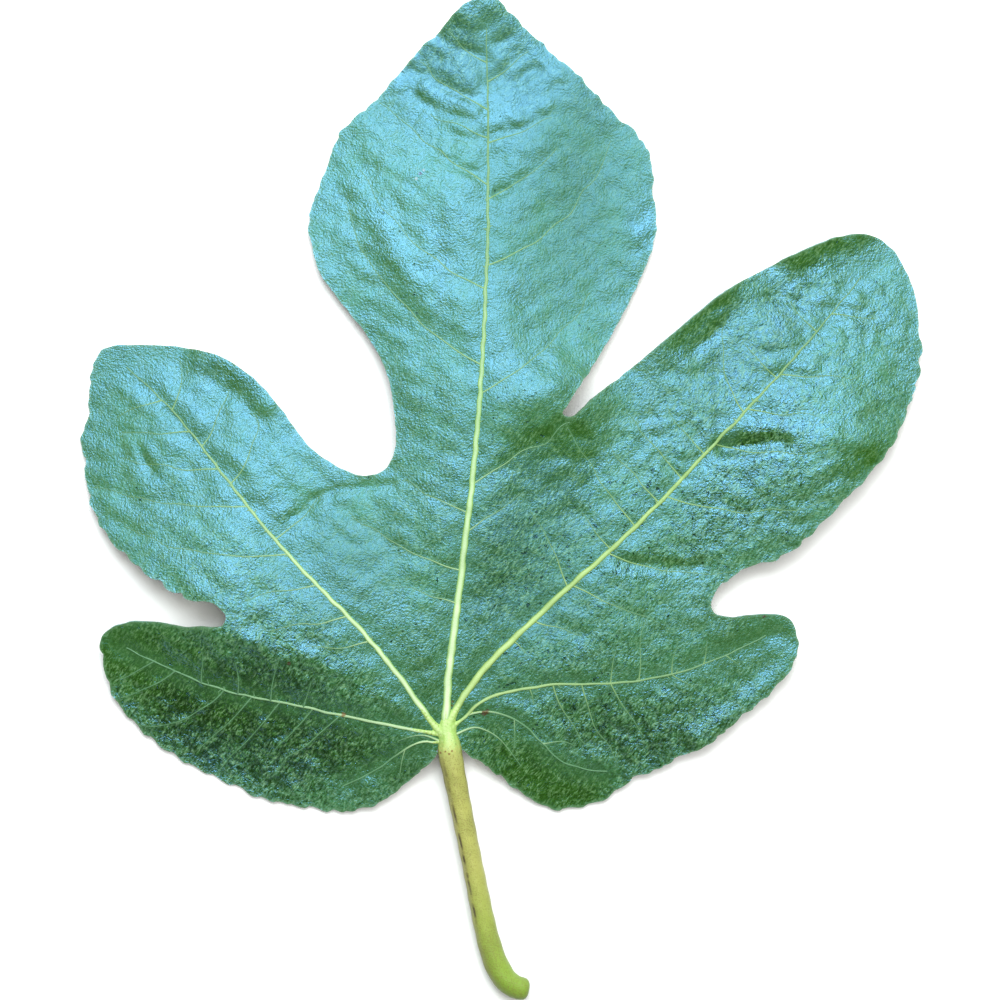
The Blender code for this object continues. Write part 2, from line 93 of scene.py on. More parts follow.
@dataclass(frozen=True)
class RibPlan:
    """A rib's course on the leaf's plan, its width at the base, its side veins and veins beside it.

    Its fading gives the shares of its length where it starts and ends to take the blade's colour, and
    vein_fade is how far its side veins have taken it at their roots.
    """

    name: str
    width: float
    course: tuple[tuple[float, float], ...]
    side_veins: tuple[SideVein, ...] = ()
    companions: tuple[tuple[tuple[float, float], ...], ...] = ()
    fading: tuple[float, float] = (0.6, 1.0)
    vein_fade: float = 0.3
    tone: Tone = Tone.CREAM


def veins(*rows: tuple[float, float, float, float]) -> tuple[SideVein, ...]:
    """Return side veins from rows of distance along the rib, angle, length and bend."""
    return tuple(SideVein(*row) for row in rows)


RIB_PLANS = (
    RibPlan("midrib", 1.85, ((0.0, 1.0), (0.3, 6.5), (0.85, 13.5), (1.65, 20), (3.9, 38), (5.9, 55),
                            (7.4, 72), (8.3, 88), (8.9, 104), (9, 120), (8.9, 136), (8.6, 148.5)), veins(
        (21, 78, 12, 0), (28, 82, 27, 26), (40, 72, 15, 2), (71, 65, 46, 42), (87, 68, 37, 40),
        (109, 56, 29, 8), (119, 67, 13, 0), (125, 60, 18, 10), (135, 62, 10, 20),
        (36, -44, 13, -6), (46, -50, 24, -6), (65, -57, 32, 26), (92, -68, 39, 52),
        (106, -60, 18, 15), (118, -75, 14, 15), (131, -66, 11, 25)), fading=(0.45, 1.0)),
    RibPlan("upper_left_rib", 1.35, ((-0.9, 1.0), (-3.5, 4.1), (-8.7, 11.6), (-15.3, 20), (-19.8, 25), (-34, 39.6),
                                    (-46, 54.2), (-57, 67.8), (-67.5, 77.6)), veins(
        (20, 65, 15, 20), (27, 62, 20, 20), (36, 54, 15, -5), (45, 54, 35, 32), (58, 54, 33, 20),
        (68, 54, 21, 18), (78, 55, 14, 8), (87, 62, 11, 5),
        (49, -95, 14, 15), (64, -85, 17, 60), (74, -78, 13, 38), (84, -70, 11, 38)), fading=(0.45, 1.0)),
    RibPlan("upper_right_rib", 1.6, ((0.6, 2.4), (2.6, 6.3), (8.9, 15), (23.4, 29), (40.5, 44.6), (57.5, 62.4),
                                     (73.5, 79.6), (88, 96.8)), veins(
        (34, 70, 18, -6), (46, 92, 10, 10), (53, 85, 24, 8), (60, 86, 18, 4), (67, 85, 19, 5),
        (74, 87, 13, 8), (86, 80, 21, 60), (96, 88, 11, 6), (109, 86, 8, 5),
        (18, -80, 5, 0), (24, -66, 11, 16), (35, -70, 20, 12), (45, -66, 36, 42),
        (62, -66, 39, 42), (77, -62, 25, 26), (87, -56, 14, 5), (97, -54, 18, 11),
        (114, -58, 9, 5)), vein_fade=0.15, tone=Tone.YELLOW),
    RibPlan("lower_left_rib", 0.78, ((-0.8, 0.4), (-3.1, 0.9), (-14.6, 3.1), (-30.9, 6.5), (-46, 9.7),
                                    (-58.8, 14.7), (-67, 18.4)), veins(
        (19, 54, 20, 4), (25, 62, 13, 8), (32, 60, 21, 4), (38, 66, 16, 24),
        (44, 66, 24, 62), (55, 62, 15, 32), (60, 60, 8, 28),
        (27, -95, 6, 0), (34, -88, 8, -8), (41, -82, 7, 0), (49, -73, 6, 0)),
            (((-1.0, -1.0), (-2.4, -0.3), (-4.2, 0.3), (-6.0, 0.3), (-8.0, -0.2), (-9.8, -0.9)),),
            fading=(-0.2, 0.85), vein_fade=0.97),
    RibPlan("lower_right_rib", 0.75, ((1.1, 1.8), (4.3, 4.2), (9, 8.1), (21.5, 10.7), (36, 11.2), (48, 13.1),
                                     (58.5, 16.8), (67.5, 21)), veins(
        (32, 80, 8, 0), (38, 78, 13, -3), (45, 68, 7, 0), (52, 58, 5, 0),
        (15, -80, 4, 0), (20, -78, 17, 36), (26, -77, 19, 20), (32, -66, 14, 12),
        (45, -54, 6, 10), (57, -64, 4, 0)), fading=(-0.1, 0.95), vein_fade=0.55, tone=Tone.YELLOW),
    RibPlan("basal_right_vein", 0.5, ((1.1, 1.4), (3.0, 3.1), (5.2, 4.7), (8.0, 5.3), (12.0, 4.6), (16.3, 2.5),
                                       (20.4, -1.5), (24.2, -5.2), (29.6, -7.2), (34.0, -7.6)),
            veins((12, -60, 6, -12), (20, 50, 7, 10)),
            (((1.6, 0.2), (5.4, 1.8), (7.8, 1.6), (11.1, -0.3), (13.9, -3.6), (15.9, -6.4)),),
            fading=(-0.1, 0.4), vein_fade=0.7),
    RibPlan("basal_left_vein", 0.5, ((-0.6, -0.8), (-2.3, -1.2), (-4.4, -1.0), (-7.2, -2.0), (-10.9, -4.5),
                                     (-15.5, -7.8), (-21.5, -10.8)), veins((6, 38, 7, 0)),
            fading=(0.0, 0.5), vein_fade=0.6),
)


@dataclass(frozen=True)
class Patch:
    """An oval place on the blade's plan, strongest in its middle."""

    x: float
    y: float
    along: float
    across: float
    turn: float
    strength: float

    def at(self, places: Points) -> Points:
        """Return the patch's strength at plan places measured from the hub."""
        offset = places - np.array([self.x, self.y])
        turn = math.radians(self.turn)
        along = offset @ np.array([math.cos(turn), math.sin(turn)]) / self.along
        across = offset @ np.array([-math.sin(turn), math.cos(turn)]) / self.across
        return self.strength * np.exp(-(along ** 2 + across ** 2))


@dataclass(frozen=True)
class Crease:
    """A fold line in the blade: a ridge, or a furrow where its height is below 0."""

    line: tuple[tuple[float, float], ...]
    width: float
    height: float

    def at(self, places: Points) -> Points:
        """Return the height that the fold adds at plan places measured from the hub."""
        line = curve_through(self.line, 0.5)
        reach = 3 * self.width
        near = (places > line.min(axis=0) - reach) & (places < line.max(axis=0) + reach)
        near = near.all(axis=1)
        result = np.zeros(len(places))
        if near.any():
            square = ((places[near][:, None] - line[None]) ** 2).sum(axis=2).min(axis=1)
            result[near] = self.height * np.exp(-square / self.width ** 2)
        return result


UNDERSIDE_NORMAL = 0.3
PLATE_SOFTNESS = 2.0
HUB_CENTRE = (0.9, 1.7)

PUCKERS = (
    Patch(22, 71.5, 11, 8, 0, 3.6),
    Patch(4, 159, 16, 13, 0, 3.8),
    Patch(-40, 21, 28, 12, -14, 1.0),
    Patch(14, 54, 15, 22, 0, 1.15),
    Patch(40, 16, 24, 12, 10, 0.8),
    Patch(-60, 60, 9, 6, -50, 0.4),
    Patch(-55, 36, 22, 19, 0, 1.1),
    Patch(-52, 84, 22, 17, 0, -1.5),
    Patch(80, 60, 18, 20, 20, 2.7),
    Patch(35, 112, 16, 28, 0, -1.0),
    Patch(30, 138, 14, 14, 0, 1.0),
    Patch(30, 98, 14, 14, 0, -1.3),
    Patch(88, 104, 16, 13, 0, -1.0),
)

CREASES = (
    # upper right lobe: curled upper margin, the deep fold beside the rib and small furrows
    Crease(((43.6, 82.6), (50.6, 89.8), (59, 95.8)), 5.0, 1.8),
    Crease(((73, 102.6), (79.4, 105.8), (88, 107.4)), 4.5, 2.0),
    Crease(((81, 62), (86, 62.5), (92, 62)), 3.2, 0.8),
    Crease(((58.6, 60.4), (64.5, 61), (70.3, 61.4)), 1.8, -1.5),
    Crease(((66, 67.6), (72, 65.3)), 1.5, -0.3),
    Crease(((72, 76), (78, 75)), 1.2, -0.35),
    Crease(((68.5, 92.6), (74.5, 91)), 1.3, -0.45),
    Crease(((53, 75.8), (57.5, 76)), 1.3, -0.4),
    Crease(((43, 67), (46.5, 67)), 1.2, -0.4),
    Crease(((46.5, 56.2), (50, 54)), 1.0, -0.4),
    Crease(((37, 36.4), (45, 35.6), (53, 35.8)), 1.4, -0.55),
    # top lobe: the long fold on the left and the furrows beside the midrib
    Crease(((-19, 117), (-14.5, 110), (-10, 103), (-4.5, 91)), 2.8, 0.3),
    Crease(((-3, 148), (2.5, 144.6), (6, 143.6)), 1.2, -0.35),
    Crease(((-4, 139), (2, 135.4), (6.5, 134)), 1.2, -0.4),
    Crease(((-6, 134), (1, 130.6), (5.5, 129.2)), 1.1, -0.3),
    Crease(((-3, 129.5), (2.5, 126.4), (6.5, 125)), 1.1, -0.35),
    Crease(((-2, 122), (3, 119.4), (7, 118.2)), 1.0, -0.3),
    Crease(((10.5, 145.5), (14, 147)), 1.1, -0.35),
    Crease(((10.5, 136.6), (14.5, 137.6), (19, 140)), 1.3, -0.4),
    Crease(((10.6, 126.6), (14, 127), (19, 129)), 1.0, -0.4),
    Crease(((10.6, 113.8), (13.5, 114.6)), 0.9, -0.5),
    # upper left lobe: its curled margin and the creases near the notch
    Crease(((-51, 81), (-43.5, 77.4), (-37, 71)), 4.0, 1.1),
    Crease(((-27.5, 50), (-22, 51.6), (-16, 52.2), (-11, 52.8)), 0.9, -0.45),
    Crease(((-32, 46), (-27, 49)), 1.0, -0.35),
    Crease(((-64.5, 60.5), (-62, 56)), 1.0, -0.4),
    Crease(((-59, 68.2), (-56, 65.6)), 0.9, -0.35),
    # lower lobes: the long fold under the upper left lobe and the folds at the foot
    Crease(((-48, 22.4), (-42, 20.5), (-35, 17.8), (-27, 16), (-21, 13)), 2.6, 0.6),
    Crease(((8, 6.2), (13, 5.6), (18, 3), (22, -1.5), (26, -5), (33, -6)), 3.0, 0.5),
    Crease(((73, 16), (68, 9.5), (61, 4), (54, -1)), 3.0, 0.8),
)

# Where the blade faces away from the window: painted shade darkens its colour there, and it is glossy, without the
# cool sheen of the rest.
SHADE_PAINTED_PLACES = (
    Patch(-58, 11, 19, 9, -20, 0.9),
    Patch(-40, 6, 17, 9, -12, 0.7),
    Patch(-20, -4, 12, 7, -10, 0.5),
    Patch(-66, 18, 10, 6, 10, 0.7),
    Patch(18, -8, 12, 6, -28, 1.1),
    Patch(29, -12, 9, 4, 10, 0.9),
    Patch(67, 20, 8, 4.5, 10, 0.7),
    Patch(42, 107, 3, 5, 0, 1.0),
    Patch(20, 60, 8, 5, 10, 1.3),
    Patch(27, 56, 5, 9, -10, 1.2),
    Patch(13, 40, 24, 4, 76, 0.35),
    Patch(3, 12, 17, 13, 0, 0.35),
    Patch(54.5, 86.5, 11, 4, 42, 1.4),
    Patch(76, 99, 6, 3.2, 34, 1.2),
    Patch(82, 102.6, 8, 3.2, 12, 1.4),
    Patch(65, 62.5, 6.5, 1.6, 6, 1.0),
    Patch(87, 58, 6, 2.6, 30, 1.2),
    Patch(40, 34, 7, 1.2, -6, 0.8),
    Patch(45, 37.2, 8, 1.2, 0, 0.6),
    Patch(4, 147, 14, 11, 0, 1.0),
    Patch(-7, 139, 12, 6, -40, 0.7),
    Patch(16, 138, 9, 6, 40, 0.6),
    Patch(28, 114, 17, 28, 0, 0.4),
    Patch(4, 141, 13, 9, 0, 0.5),
    Patch(15.5, 126, 9, 15, 0, 0.35),
    Patch(23, 139, 10, 7, 45, 0.35),
    Patch(-43, 75, 8, 3.5, -38, 0.5),
    Patch(-26, 36, 14, 6, -48, 0.45),
    Patch(-11, 102.5, 17, 3.2, -60, 0.38),
    Patch(16, 40, 13, 27, -8, 0.5),
    Patch(36, 3, 26, 12, 8, 0.3),
)

# Where the blade is duller and mirrors the window less.
MATT_PLACES = (
    Patch(27, 116, 17, 30, 0, 1.0),
    Patch(2, 142, 22, 12, 0, 1.0),
    Patch(17, 38, 14, 26, -8, 0.8),
    Patch(62, 80, 24, 11, 45, 0.4),
    Patch(-21, 37, 13, 11, 0, 0.6),
)

# Where the side veins stand up instead of lying in furrows.
RAISED_PLACES = (
    Patch(-42, 3, 34, 17, -12, 1.3),
    Patch(24, -8, 16, 7, -15, 0.8),
)

# Where the skin's grain is coarse.
GRITTY_PLACES = (
    Patch(-42, 2, 34, 18, -12, 1.3),
    Patch(42, -1, 34, 18, 5, 0.9),
    Patch(62, 50, 34, 16, 42, 0.55),
    Patch(66, 80, 38, 18, 46, 0.5),
    Patch(12, 38, 22, 30, 0, 0.5),
    Patch(-38, 30, 24, 14, -50, 0.4),
    Patch(5, 146, 14, 12, 0, 0.4),
)

# Where the blade is strewn with small dark pits.
PITTED_PLACES = (
    Patch(8, 34, 24, 34, -5, 0.75),
    Patch(55, 56, 36, 17, 45, 0.5),
    Patch(35, 5, 26, 13, 0, 0.35),
    Patch(-40, 3, 30, 15, -10, 0.5),
    Patch(-62, 52, 14, 12, 0, 0.3),
)

WRINKLED_PLACES = (
    Patch(-27, 50, 8, 5, 20, 1.0),
    Patch(-15, 42, 8, 6, -40, 1.0),
    Patch(-40, 19, 11, 4, -20, 0.8),
    Patch(-22, 12, 10, 3, -25, 0.7),
    Patch(46, 62, 10, 8, 45, 0.9),
    Patch(3, 132, 12, 14, 0, 0.8),
    Patch(-8, 141, 10, 8, 0, 0.5),
    Patch(16, 126, 10, 14, 0, 0.35),
    Patch(60, 44, 14, 8, 30, 0.6),
    Patch(62, 88, 12, 8, 30, 0.5),
    Patch(74, 50, 18, 8, 35, 1.0),
    Patch(-45, 2, 28, 12, -10, 1.0),
    Patch(70, 80, 20, 12, 40, 0.8),
    Patch(90, 86, 13, 14, 0, 0.6),
    Patch(27, 112, 17, 28, 0, 0.4),
    Patch(-12, 112, 15, 22, 0, 0.3),
    Patch(-60, 62, 18, 16, 0, 0.25),
)


def total(parts: Iterable[Patch | Crease], places: Points) -> Points:
    """Return the sum of some patches or creases at plan places measured from the hub."""
    return sum((part.at(places) for part in parts), np.zeros(len(places)))


def curve_through(knots: Iterable[tuple[float, ...]], step: float, closed: bool = False) -> Points:
    """Sample a smooth curve through some points.

    Args:
        knots: The points that the curve passes through.
        step: The spacing of the samples.
        closed: Whether the curve returns to its first point.

    Returns:
        Evenly spread points, with both ends of an open curve, and with a closed curve's start once.
    """
    table = np.array(list(knots), float)
    if closed:
        table = np.vstack([table[-1:], table, table[:2]])
    else:
        table = np.vstack([2 * table[0] - table[1], table, 2 * table[-1] - table[-2]])
    samples = []
    for p0, p1, p2, p3 in zip(table, table[1:], table[2:], table[3:]):
        for t in np.linspace(0, 1, 24, endpoint=False):
            samples.append(0.5 * (2 * p1 + (p2 - p0) * t + (2 * p0 - 5 * p1 + 4 * p2 - p3) * t ** 2
                                  + (3 * p1 - p0 - 3 * p2 + p3) * t ** 3))
    samples.append(table[-2])
    line = even_steps(np.array(samples), step)
    return line[:-1] if closed else line


def even_steps(line: Points, step: float) -> Points:
    """Return points spread evenly along a polyline, about one step apart, its ends kept."""
    along = distances_along(line)
    count = max(2, round(along[-1] / step) + 1)
    places = np.linspace(0, along[-1], count)
    return np.column_stack([np.interp(places, along, line[:, k]) for k in range(line.shape[1])])


def distances_along(line: Points) -> Points:
    """Return each point's distance along a polyline."""
    return np.concatenate([[0], np.cumsum(np.linalg.norm(np.diff(line, axis=0), axis=1))])


def directions(line: Points) -> Points:
    """Return the unit direction of a polyline at each of its points."""
    ways = np.gradient(line, axis=0)
    return ways / np.linalg.norm(ways, axis=1)[:, None]


def side_vein_line(rib: Points, vein: SideVein, step: float) -> Points:
    """Return a side vein's plan line, by the same rule as the part's source.

    Args:
        rib: The rib's plan line, from the end that the source measures from.
        vein: The side vein.
        step: The spacing of the points.

    Returns:
        The vein's points from its root on the rib outwards.
    """
    along = distances_along(rib)
    i = min(int(np.searchsorted(along, vein.at)), len(rib) - 2)
    way = rib[i + 1] - rib[i]
    start = math.atan2(way[1], way[0]) + math.radians(vein.angle)
    count = max(3, round(vein.length / step) + 1)
    turned = start - vein.side.value * math.radians(vein.bend) * np.linspace(0, 1, count)
    strides = np.column_stack([np.cos(turned), np.sin(turned)]) * vein.length / (count - 1)
    return np.vstack([rib[i], rib[i] + np.cumsum(strides[:-1], axis=0)])


class ThinPlate:
    """A smooth height over the plan, bent through known heights like a thin plate."""

    def __init__(self, spots: Points, softness: float) -> None:
        """Fit the plate.

        Args:
            spots: Rows of x, y and height.
            softness: How far the plate may pass beside the heights.
        """
        count = len(spots)
        self.middle = spots[:, :2].mean(axis=0)
        self.centres = spots[:, :2] - self.middle
        plane = np.column_stack([np.ones(count), self.centres])
        system = np.zeros((count + 3, count + 3))
        system[:count, :count] = self.response(self.centres) + softness * np.eye(count)
        system[:count, count:] = plane
        system[count:, :count] = plane.T
        self.weights = np.linalg.solve(system, np.concatenate([spots[:, 2], np.zeros(3)]))

    def response(self, places: Points) -> Points:
        """Return the plate's bending at each place by each known height."""
        square = ((places[:, None, :] - self.centres[None]) ** 2).sum(axis=2)
        return 0.5 * square * np.log(np.maximum(square, 1e-9))

    def heights(self, places: Points) -> Points:
        """Return the plate's height at each plan place."""
        result = []
        for block in np.array_split(places - self.middle, max(1, len(places) // 4000)):
            bend = self.response(block) @ self.weights[:-3]
            result.append(bend + np.column_stack([np.ones(len(block)), block]) @ self.weights[-3:])
        return np.concatenate(result)


class LineTree:
    """Finds how far plan places lie from a set of lines."""

    def __init__(self, lines: list[Points], step: float = 0.4) -> None:
        """Spread points along the lines and put them in a search tree."""
        points = np.vstack([even_steps(line, step) for line in lines])
        self.tree = KDTree(len(points))
        for i, (x, y) in enumerate(points):
            self.tree.insert((x, y, 0), i)
        self.tree.balance()

    def distances(self, places: Points) -> Points:
        """Return each place's distance to the nearest line."""
        return np.array([self.tree.find((x, y, 0))[2] for x, y in places])


class CellNet:
    """An uneven net of cells over the plan, such as the finer veins enclose."""

    def __init__(self, low: Points, high: Points, size: float, seed: int) -> None:
        """Scatter the cells' centres.

        Args:
            low: The plan's lowest corner.
            high: The plan's highest corner.
            size: The cells' mean width.
            seed: The seed of the scatter.
        """
        rng = np.random.default_rng(seed)
        columns = np.arange(low[0] - size, high[0] + size, size)
        rows = np.arange(low[1] - size, high[1] + size, size * 0.866)
        self.tree = KDTree(len(columns) * len(rows))
        for j, y in enumerate(rows):
            for i, x in enumerate(columns):
                stray = rng.uniform(-0.42, 0.42, 2) * size
                self.tree.insert((x + (j % 2) * size / 2 + stray[0], y + stray[1], 0), 0)
        self.tree.balance()
        self.size = size

    def edge_distances(self, places: Points) -> Points:
        """Return each place's distance to the nearest cell edge, as a share of the cells' width."""
        result = np.empty(len(places))
        for i, (x, y) in enumerate(places):
            (first, _, near), (second, _, far) = self.tree.find_n((x, y, 0), 2)
            result[i] = (far ** 2 - near ** 2) / (2 * (first - second).length)
        return result / self.size


def waves(places: Points, length: float, count: int, seed: int) -> Points:
    """Return a smooth uneven height of about one unit, as a sum of seeded waves.

    Args:
        places: Plan places.
        length: The mean wavelength.
        count: The number of waves.
        seed: The seed of their directions and phases.

    Returns:
        One height for each place.
    """
    rng = np.random.default_rng(seed)
    total = np.zeros(len(places))
    for _ in range(count):
        turn, phase = rng.uniform(0, 2 * math.pi, 2)
        number = 2 * math.pi / (length * rng.uniform(0.7, 1.4))
        total += np.sin(number * (places @ np.array([math.cos(turn), math.sin(turn)])) + phase)
    return total / math.sqrt(count / 2)


def crumple(places: Points, length: float, seed: float) -> Points:
    """Return the height of a crumpled surface with sharp furrows, from 0 up.

    Args:
        places: Plan places.
        length: The size of its largest folds.
        seed: A shift that picks another part of the same noise.

    Returns:
        One height for each place.
    """
    return np.array([noise.turbulence(Vector((x / length + seed, y / length - seed, seed)), 3, True)
                     for x, y in places])


class BladeForm:
    """The blade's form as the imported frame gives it: outline, heights and the hub's place."""

    def __init__(self, node: bpy.types.Object) -> None:
        """Read the underside of the blade's node.

        Args:
            node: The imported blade.
        """
        mesh = node.data
        places = np.array([v.co for v in mesh.vertices]) / MM
        keys = [tuple(p) for p in places.round(3)]
        index = {key: i for i, key in enumerate(dict.fromkeys(keys))}
        unique = np.array(list(index), float)
        faces = [[index[keys[v]] for v in polygon.vertices] for polygon in mesh.polygons
                 if polygon.normal.z < -UNDERSIDE_NORMAL]
        used = sorted({v for face in faces for v in face})
        self.outline = self.trace_rim(faces, unique)
        self.low = unique[used].min(axis=0)[:2]
        self.high = unique[used].max(axis=0)[:2]
        self.plate = ThinPlate(unique[used], PLATE_SOFTNESS)

    @staticmethod
    def trace_rim(faces: list[list[int]], places: Points) -> Points:
        """Return the closed rim of some faces as plan points, running anticlockwise."""
        edges = {(a, b) for face in faces for a, b in zip(face, face[1:] + face[:1])}
        after = {a: b for a, b in edges if (b, a) not in edges}
        first = next(iter(after))
        loop = [first]
        while after[loop[-1]] != first:
            loop.append(after[loop[-1]])
        rim = places[loop][:, :2]
        x, y = rim.T
        area = np.dot(x, np.roll(y, -1)) - np.dot(y, np.roll(x, -1))
        return rim if area > 0 else rim[::-1]

    def underside(self, places: Points) -> Points:
        """Return the height of the blade's underside at plan places."""
        return np.maximum(self.plate.heights(places), 0.0)


def hub_place() -> Points:
    """Return where the meeting point of the ribs lies in the frame, in millimetres."""
    low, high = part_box("vein_hub")
    return np.array([(low[k] + high[k]) / 2 / MM - HUB_CENTRE[k] for k in range(2)])


# The blade's attributes that its finish reads.
MASKS = ("rib", "vein", "dark", "matt", "grit", "furrow", "pitted", "edge")


class Relief:
    """The blade's upper surface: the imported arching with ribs, veins, cells and puckers on it."""

    RIB_DIP = 0.22
    RIB_DIP_REACH = 2.4
    VEIN_DIP = 0.1
    VEIN_DIP_REACH = 0.8
    PILLOW = 0.17
    PILLOW_REACH = 3.6
    CELL_HEIGHT = 0.06
    CELL_SIZE = 3.4
    CELL_SHOULDER = 0.2
    SWELL = 0.14
    SWELL_LENGTH = 21.0
    RIPPLE = 0.07
    RIPPLE_LENGTH = 5.5
    WRINKLE = 0.12
    DEEP_WRINKLE = 0.45
    WRINKLE_LENGTH = 4.5
    RAISED = 4.0

    def __init__(self, form: BladeForm, hub: Points, ribs: list[Points], side_veins: list[Points],
                 thickness: float) -> None:
        """Gather what shapes the surface.

        Args:
            form: The blade's form in the frame.
            hub: The hub's place in the frame.
            ribs: The ribs' plan lines in the frame.
            side_veins: The side veins' plan lines in the frame.
            thickness: The blade's thickness.
        """
        self.form = form
        self.hub = hub
        self.thickness = thickness
        self.rib_tree = LineTree(ribs)
        self.vein_tree = LineTree(side_veins)
        self.net = CellNet(form.low, form.high, self.CELL_SIZE, SEED)

    def heights(self, places: Points) -> dict[str, Points]:
        """Return the surface's heights and the masks that its finish reads.

        Args:
            places: Plan places in the frame, in millimetres.

        Returns:
            The height under "z", and masks from 0 to 1 under the names of MASKS except "edge".
        """
        to_rib = self.rib_tree.distances(places)
        to_vein = self.vein_tree.distances(places)
        bent = places + 0.8 * np.column_stack([waves(places, 7, 5, SEED + 1),
                                               waves(places, 7, 5, SEED + 2)])
        to_edge = self.net.edge_distances(bent)
        z = self.form.underside(places) + self.thickness
        z -= self.RIB_DIP * np.exp(-(to_rib / self.RIB_DIP_REACH) ** 2)
        local = places - self.hub
        dip = self.VEIN_DIP * (1 - self.RAISED * np.minimum(total(RAISED_PLACES, local), 1))
        z -= dip * np.exp(-(to_vein / self.VEIN_DIP_REACH) ** 2)
        apart = np.minimum(to_vein, to_rib)
        z += self.PILLOW * (1 - np.exp(-(apart / self.PILLOW_REACH) ** 2))
        z += self.CELL_HEIGHT * (1 - np.exp(-(to_edge / self.CELL_SHOULDER) ** 2))
        z += self.SWELL * waves(places, self.SWELL_LENGTH, 9, SEED + 3)
        z += self.RIPPLE * waves(places, self.RIPPLE_LENGTH, 9, SEED + 4)
        z += total(PUCKERS, local) + total(CREASES, local)
        depth = self.WRINKLE + self.DEEP_WRINKLE * np.minimum(total(WRINKLED_PLACES, local), 1)
        z += depth * (crumple(places, self.WRINKLE_LENGTH, SEED) - 0.5)
        lowest = self.thickness + 0.05
        z = lowest + np.logaddexp(0, (z - lowest) * 4) / 4
        # The dark mask marks where the finish paints shade into the blade's colour, on slopes that face away from
        # the window.
        dark = total(SHADE_PAINTED_PLACES, local + 0.7 * np.column_stack([waves(places, 5, 6, SEED + 8),
                                                                waves(places, 5, 6, SEED + 9)]))
        return {"z": z, "rib": np.exp(-(to_rib / 3) ** 2), "vein": np.exp(-(to_vein / 0.5) ** 2),
                "dark": np.clip(dark, 0, 1), "matt": np.clip(total(MATT_PLACES, local), 0, 1),
                "furrow": np.exp(-(to_edge / 0.15) ** 2), "grit": np.clip(total(GRITTY_PLACES, local), 0, 1),
                "pitted": np.clip(total(PITTED_PLACES, local), 0, 1)}

    def top(self, places: Points) -> Points:
        """Return the upper surface's heights alone."""
        return self.heights(places)["z"]


def deselect() -> None:
    """Deselect every object."""
    bpy.ops.object.select_all(action="DESELECT")


def select_only(*pieces: bpy.types.Object) -> None:
    """Select the pieces, with the first one active."""
    deselect()
    for piece in pieces:
        piece.select_set(True)
    bpy.context.view_layer.objects.active = pieces[0]


def apply_modifier(piece: bpy.types.Object, kind: str, **settings: object) -> None:
    """Add a modifier with some settings and apply it.

    Args:
        piece: The object.
        kind: The modifier's type.
        settings: Its properties.
    """
    select_only(piece)
    bpy.ops.object.modifier_add(type=kind)
    modifier = piece.modifiers[-1]
    for name, value in settings.items():
        setattr(modifier, name, value)
    bpy.ops.object.modifier_apply(modifier=modifier.name)


@dataclass(frozen=True)
class Course:
    """A tube's centre line with its radius at each point, and how far it has faded into the blade."""

    line: Points
    radii: Points
    fade: Points


def tubes(name: str, courses: list[Course], sides: int) -> bpy.types.Object:
    """Model closed round tubes of changing radius as one bevelled curve turned into a mesh.

    Args:
        name: The object's name.
        courses: The tubes' centre lines and radii in millimetres.
        sides: The curve's bevel resolution.

    Returns:
        The tubes, with their object at the origin.
    """
    deselect()
    bpy.ops.curve.primitive_nurbs_path_add(location=(0, 0, 0))
    piece = bpy.context.object
    piece.name = name
    curve = piece.data
    curve.splines.clear()
    for course in courses:
        spline = curve.splines.new("POLY")
        spline.points.add(len(course.line) - 1)
        for point, place, radius in zip(spline.points, course.line, course.radii):
            point.co = (*(place * MM), 1)
            point.radius = float(radius)
    curve.bevel_depth = MM
    curve.bevel_resolution = sides
    curve.use_fill_caps = True
    select_only(piece)
    bpy.ops.object.convert(target="MESH")
    piece = bpy.context.object
    piece.data.name = name
    bpy.ops.object.shade_smooth()
    return piece


class Spots:
    """Plan places that keep a distance from each other."""

    def __init__(self, reach: float) -> None:
        """Start without places.

        Args:
            reach: The distance that places keep.
        """
        self.reach = reach
        self.cells: dict[tuple[int, int], list[Points]] = {}

    def is_clear(self, place: Points) -> bool:
        """Tell whether no kept place lies within reach."""
        column, row = (int(v) for v in place // self.reach)
        for i in (column - 1, column, column + 1):
            for j in (row - 1, row, row + 1):
                for other in self.cells.get((i, j), ()):
                    if np.hypot(*(place - other)) < self.reach:
                        return False
        return True

    def add_if_clear(self, place: Points) -> bool:
        """Keep a place if none lies within reach, and tell whether it was kept."""
        if not self.is_clear(place):
            return False
        cell = tuple(int(v) for v in place // self.reach)
        self.cells.setdefault(cell, []).append(place)
        return True


class Border:
    """The blade's rim as a closed plan line."""

    def __init__(self, rim: Points) -> None:
        """Keep the rim and a search tree along it."""
        self.rim = rim
        self.tree = LineTree([np.vstack([rim, rim[:1]])], 0.25)

    def clear(self, places: Points, gap: float) -> Points:
        """Tell for each place whether it lies inside the rim, at least a gap away from it."""
        result = np.zeros(len(places), bool)
        following = np.roll(self.rim, -1, axis=0)
        for (x1, y1), (x2, y2) in zip(self.rim, following):
            if y1 != y2:
                spans = (places[:, 1] < y1) != (places[:, 1] < y2)
                crossing = x1 + (places[:, 1] - y1) * (x2 - x1) / (y2 - y1)
                result ^= spans & (places[:, 0] < crossing)
        result[result] = self.tree.distances(places[result]) > gap
        return result

    def trimmed(self, lines: list[Points], gap: float = 0.5) -> list[Points]:
        """Cut lines off where they near the rim, and drop those with little left."""
        kept = []
        for line in lines:
            clear = self.clear(line, gap)
            count = len(line) if clear.all() else int(clear.argmin())
            if count >= 4:
                kept.append(line[:count])
        return kept


# Stretches of the rim without teeth, anticlockwise from one plan place to another.
PLAIN_STRETCHES = (
    ((-2.3, -3.5), (3.8, -2.6)),
    ((73.4, 17), (57.2, 31.8)),
    ((98.9, 78), (24.4, 67)),
    ((24.4, 67), (42.5, 99)),
    ((12, 152.4), (-0.5, 149)),
    ((-28.2, 104.5), (-72.4, 81.4)),
    ((-60, 33.5), (-72.3, 20.8)),
)


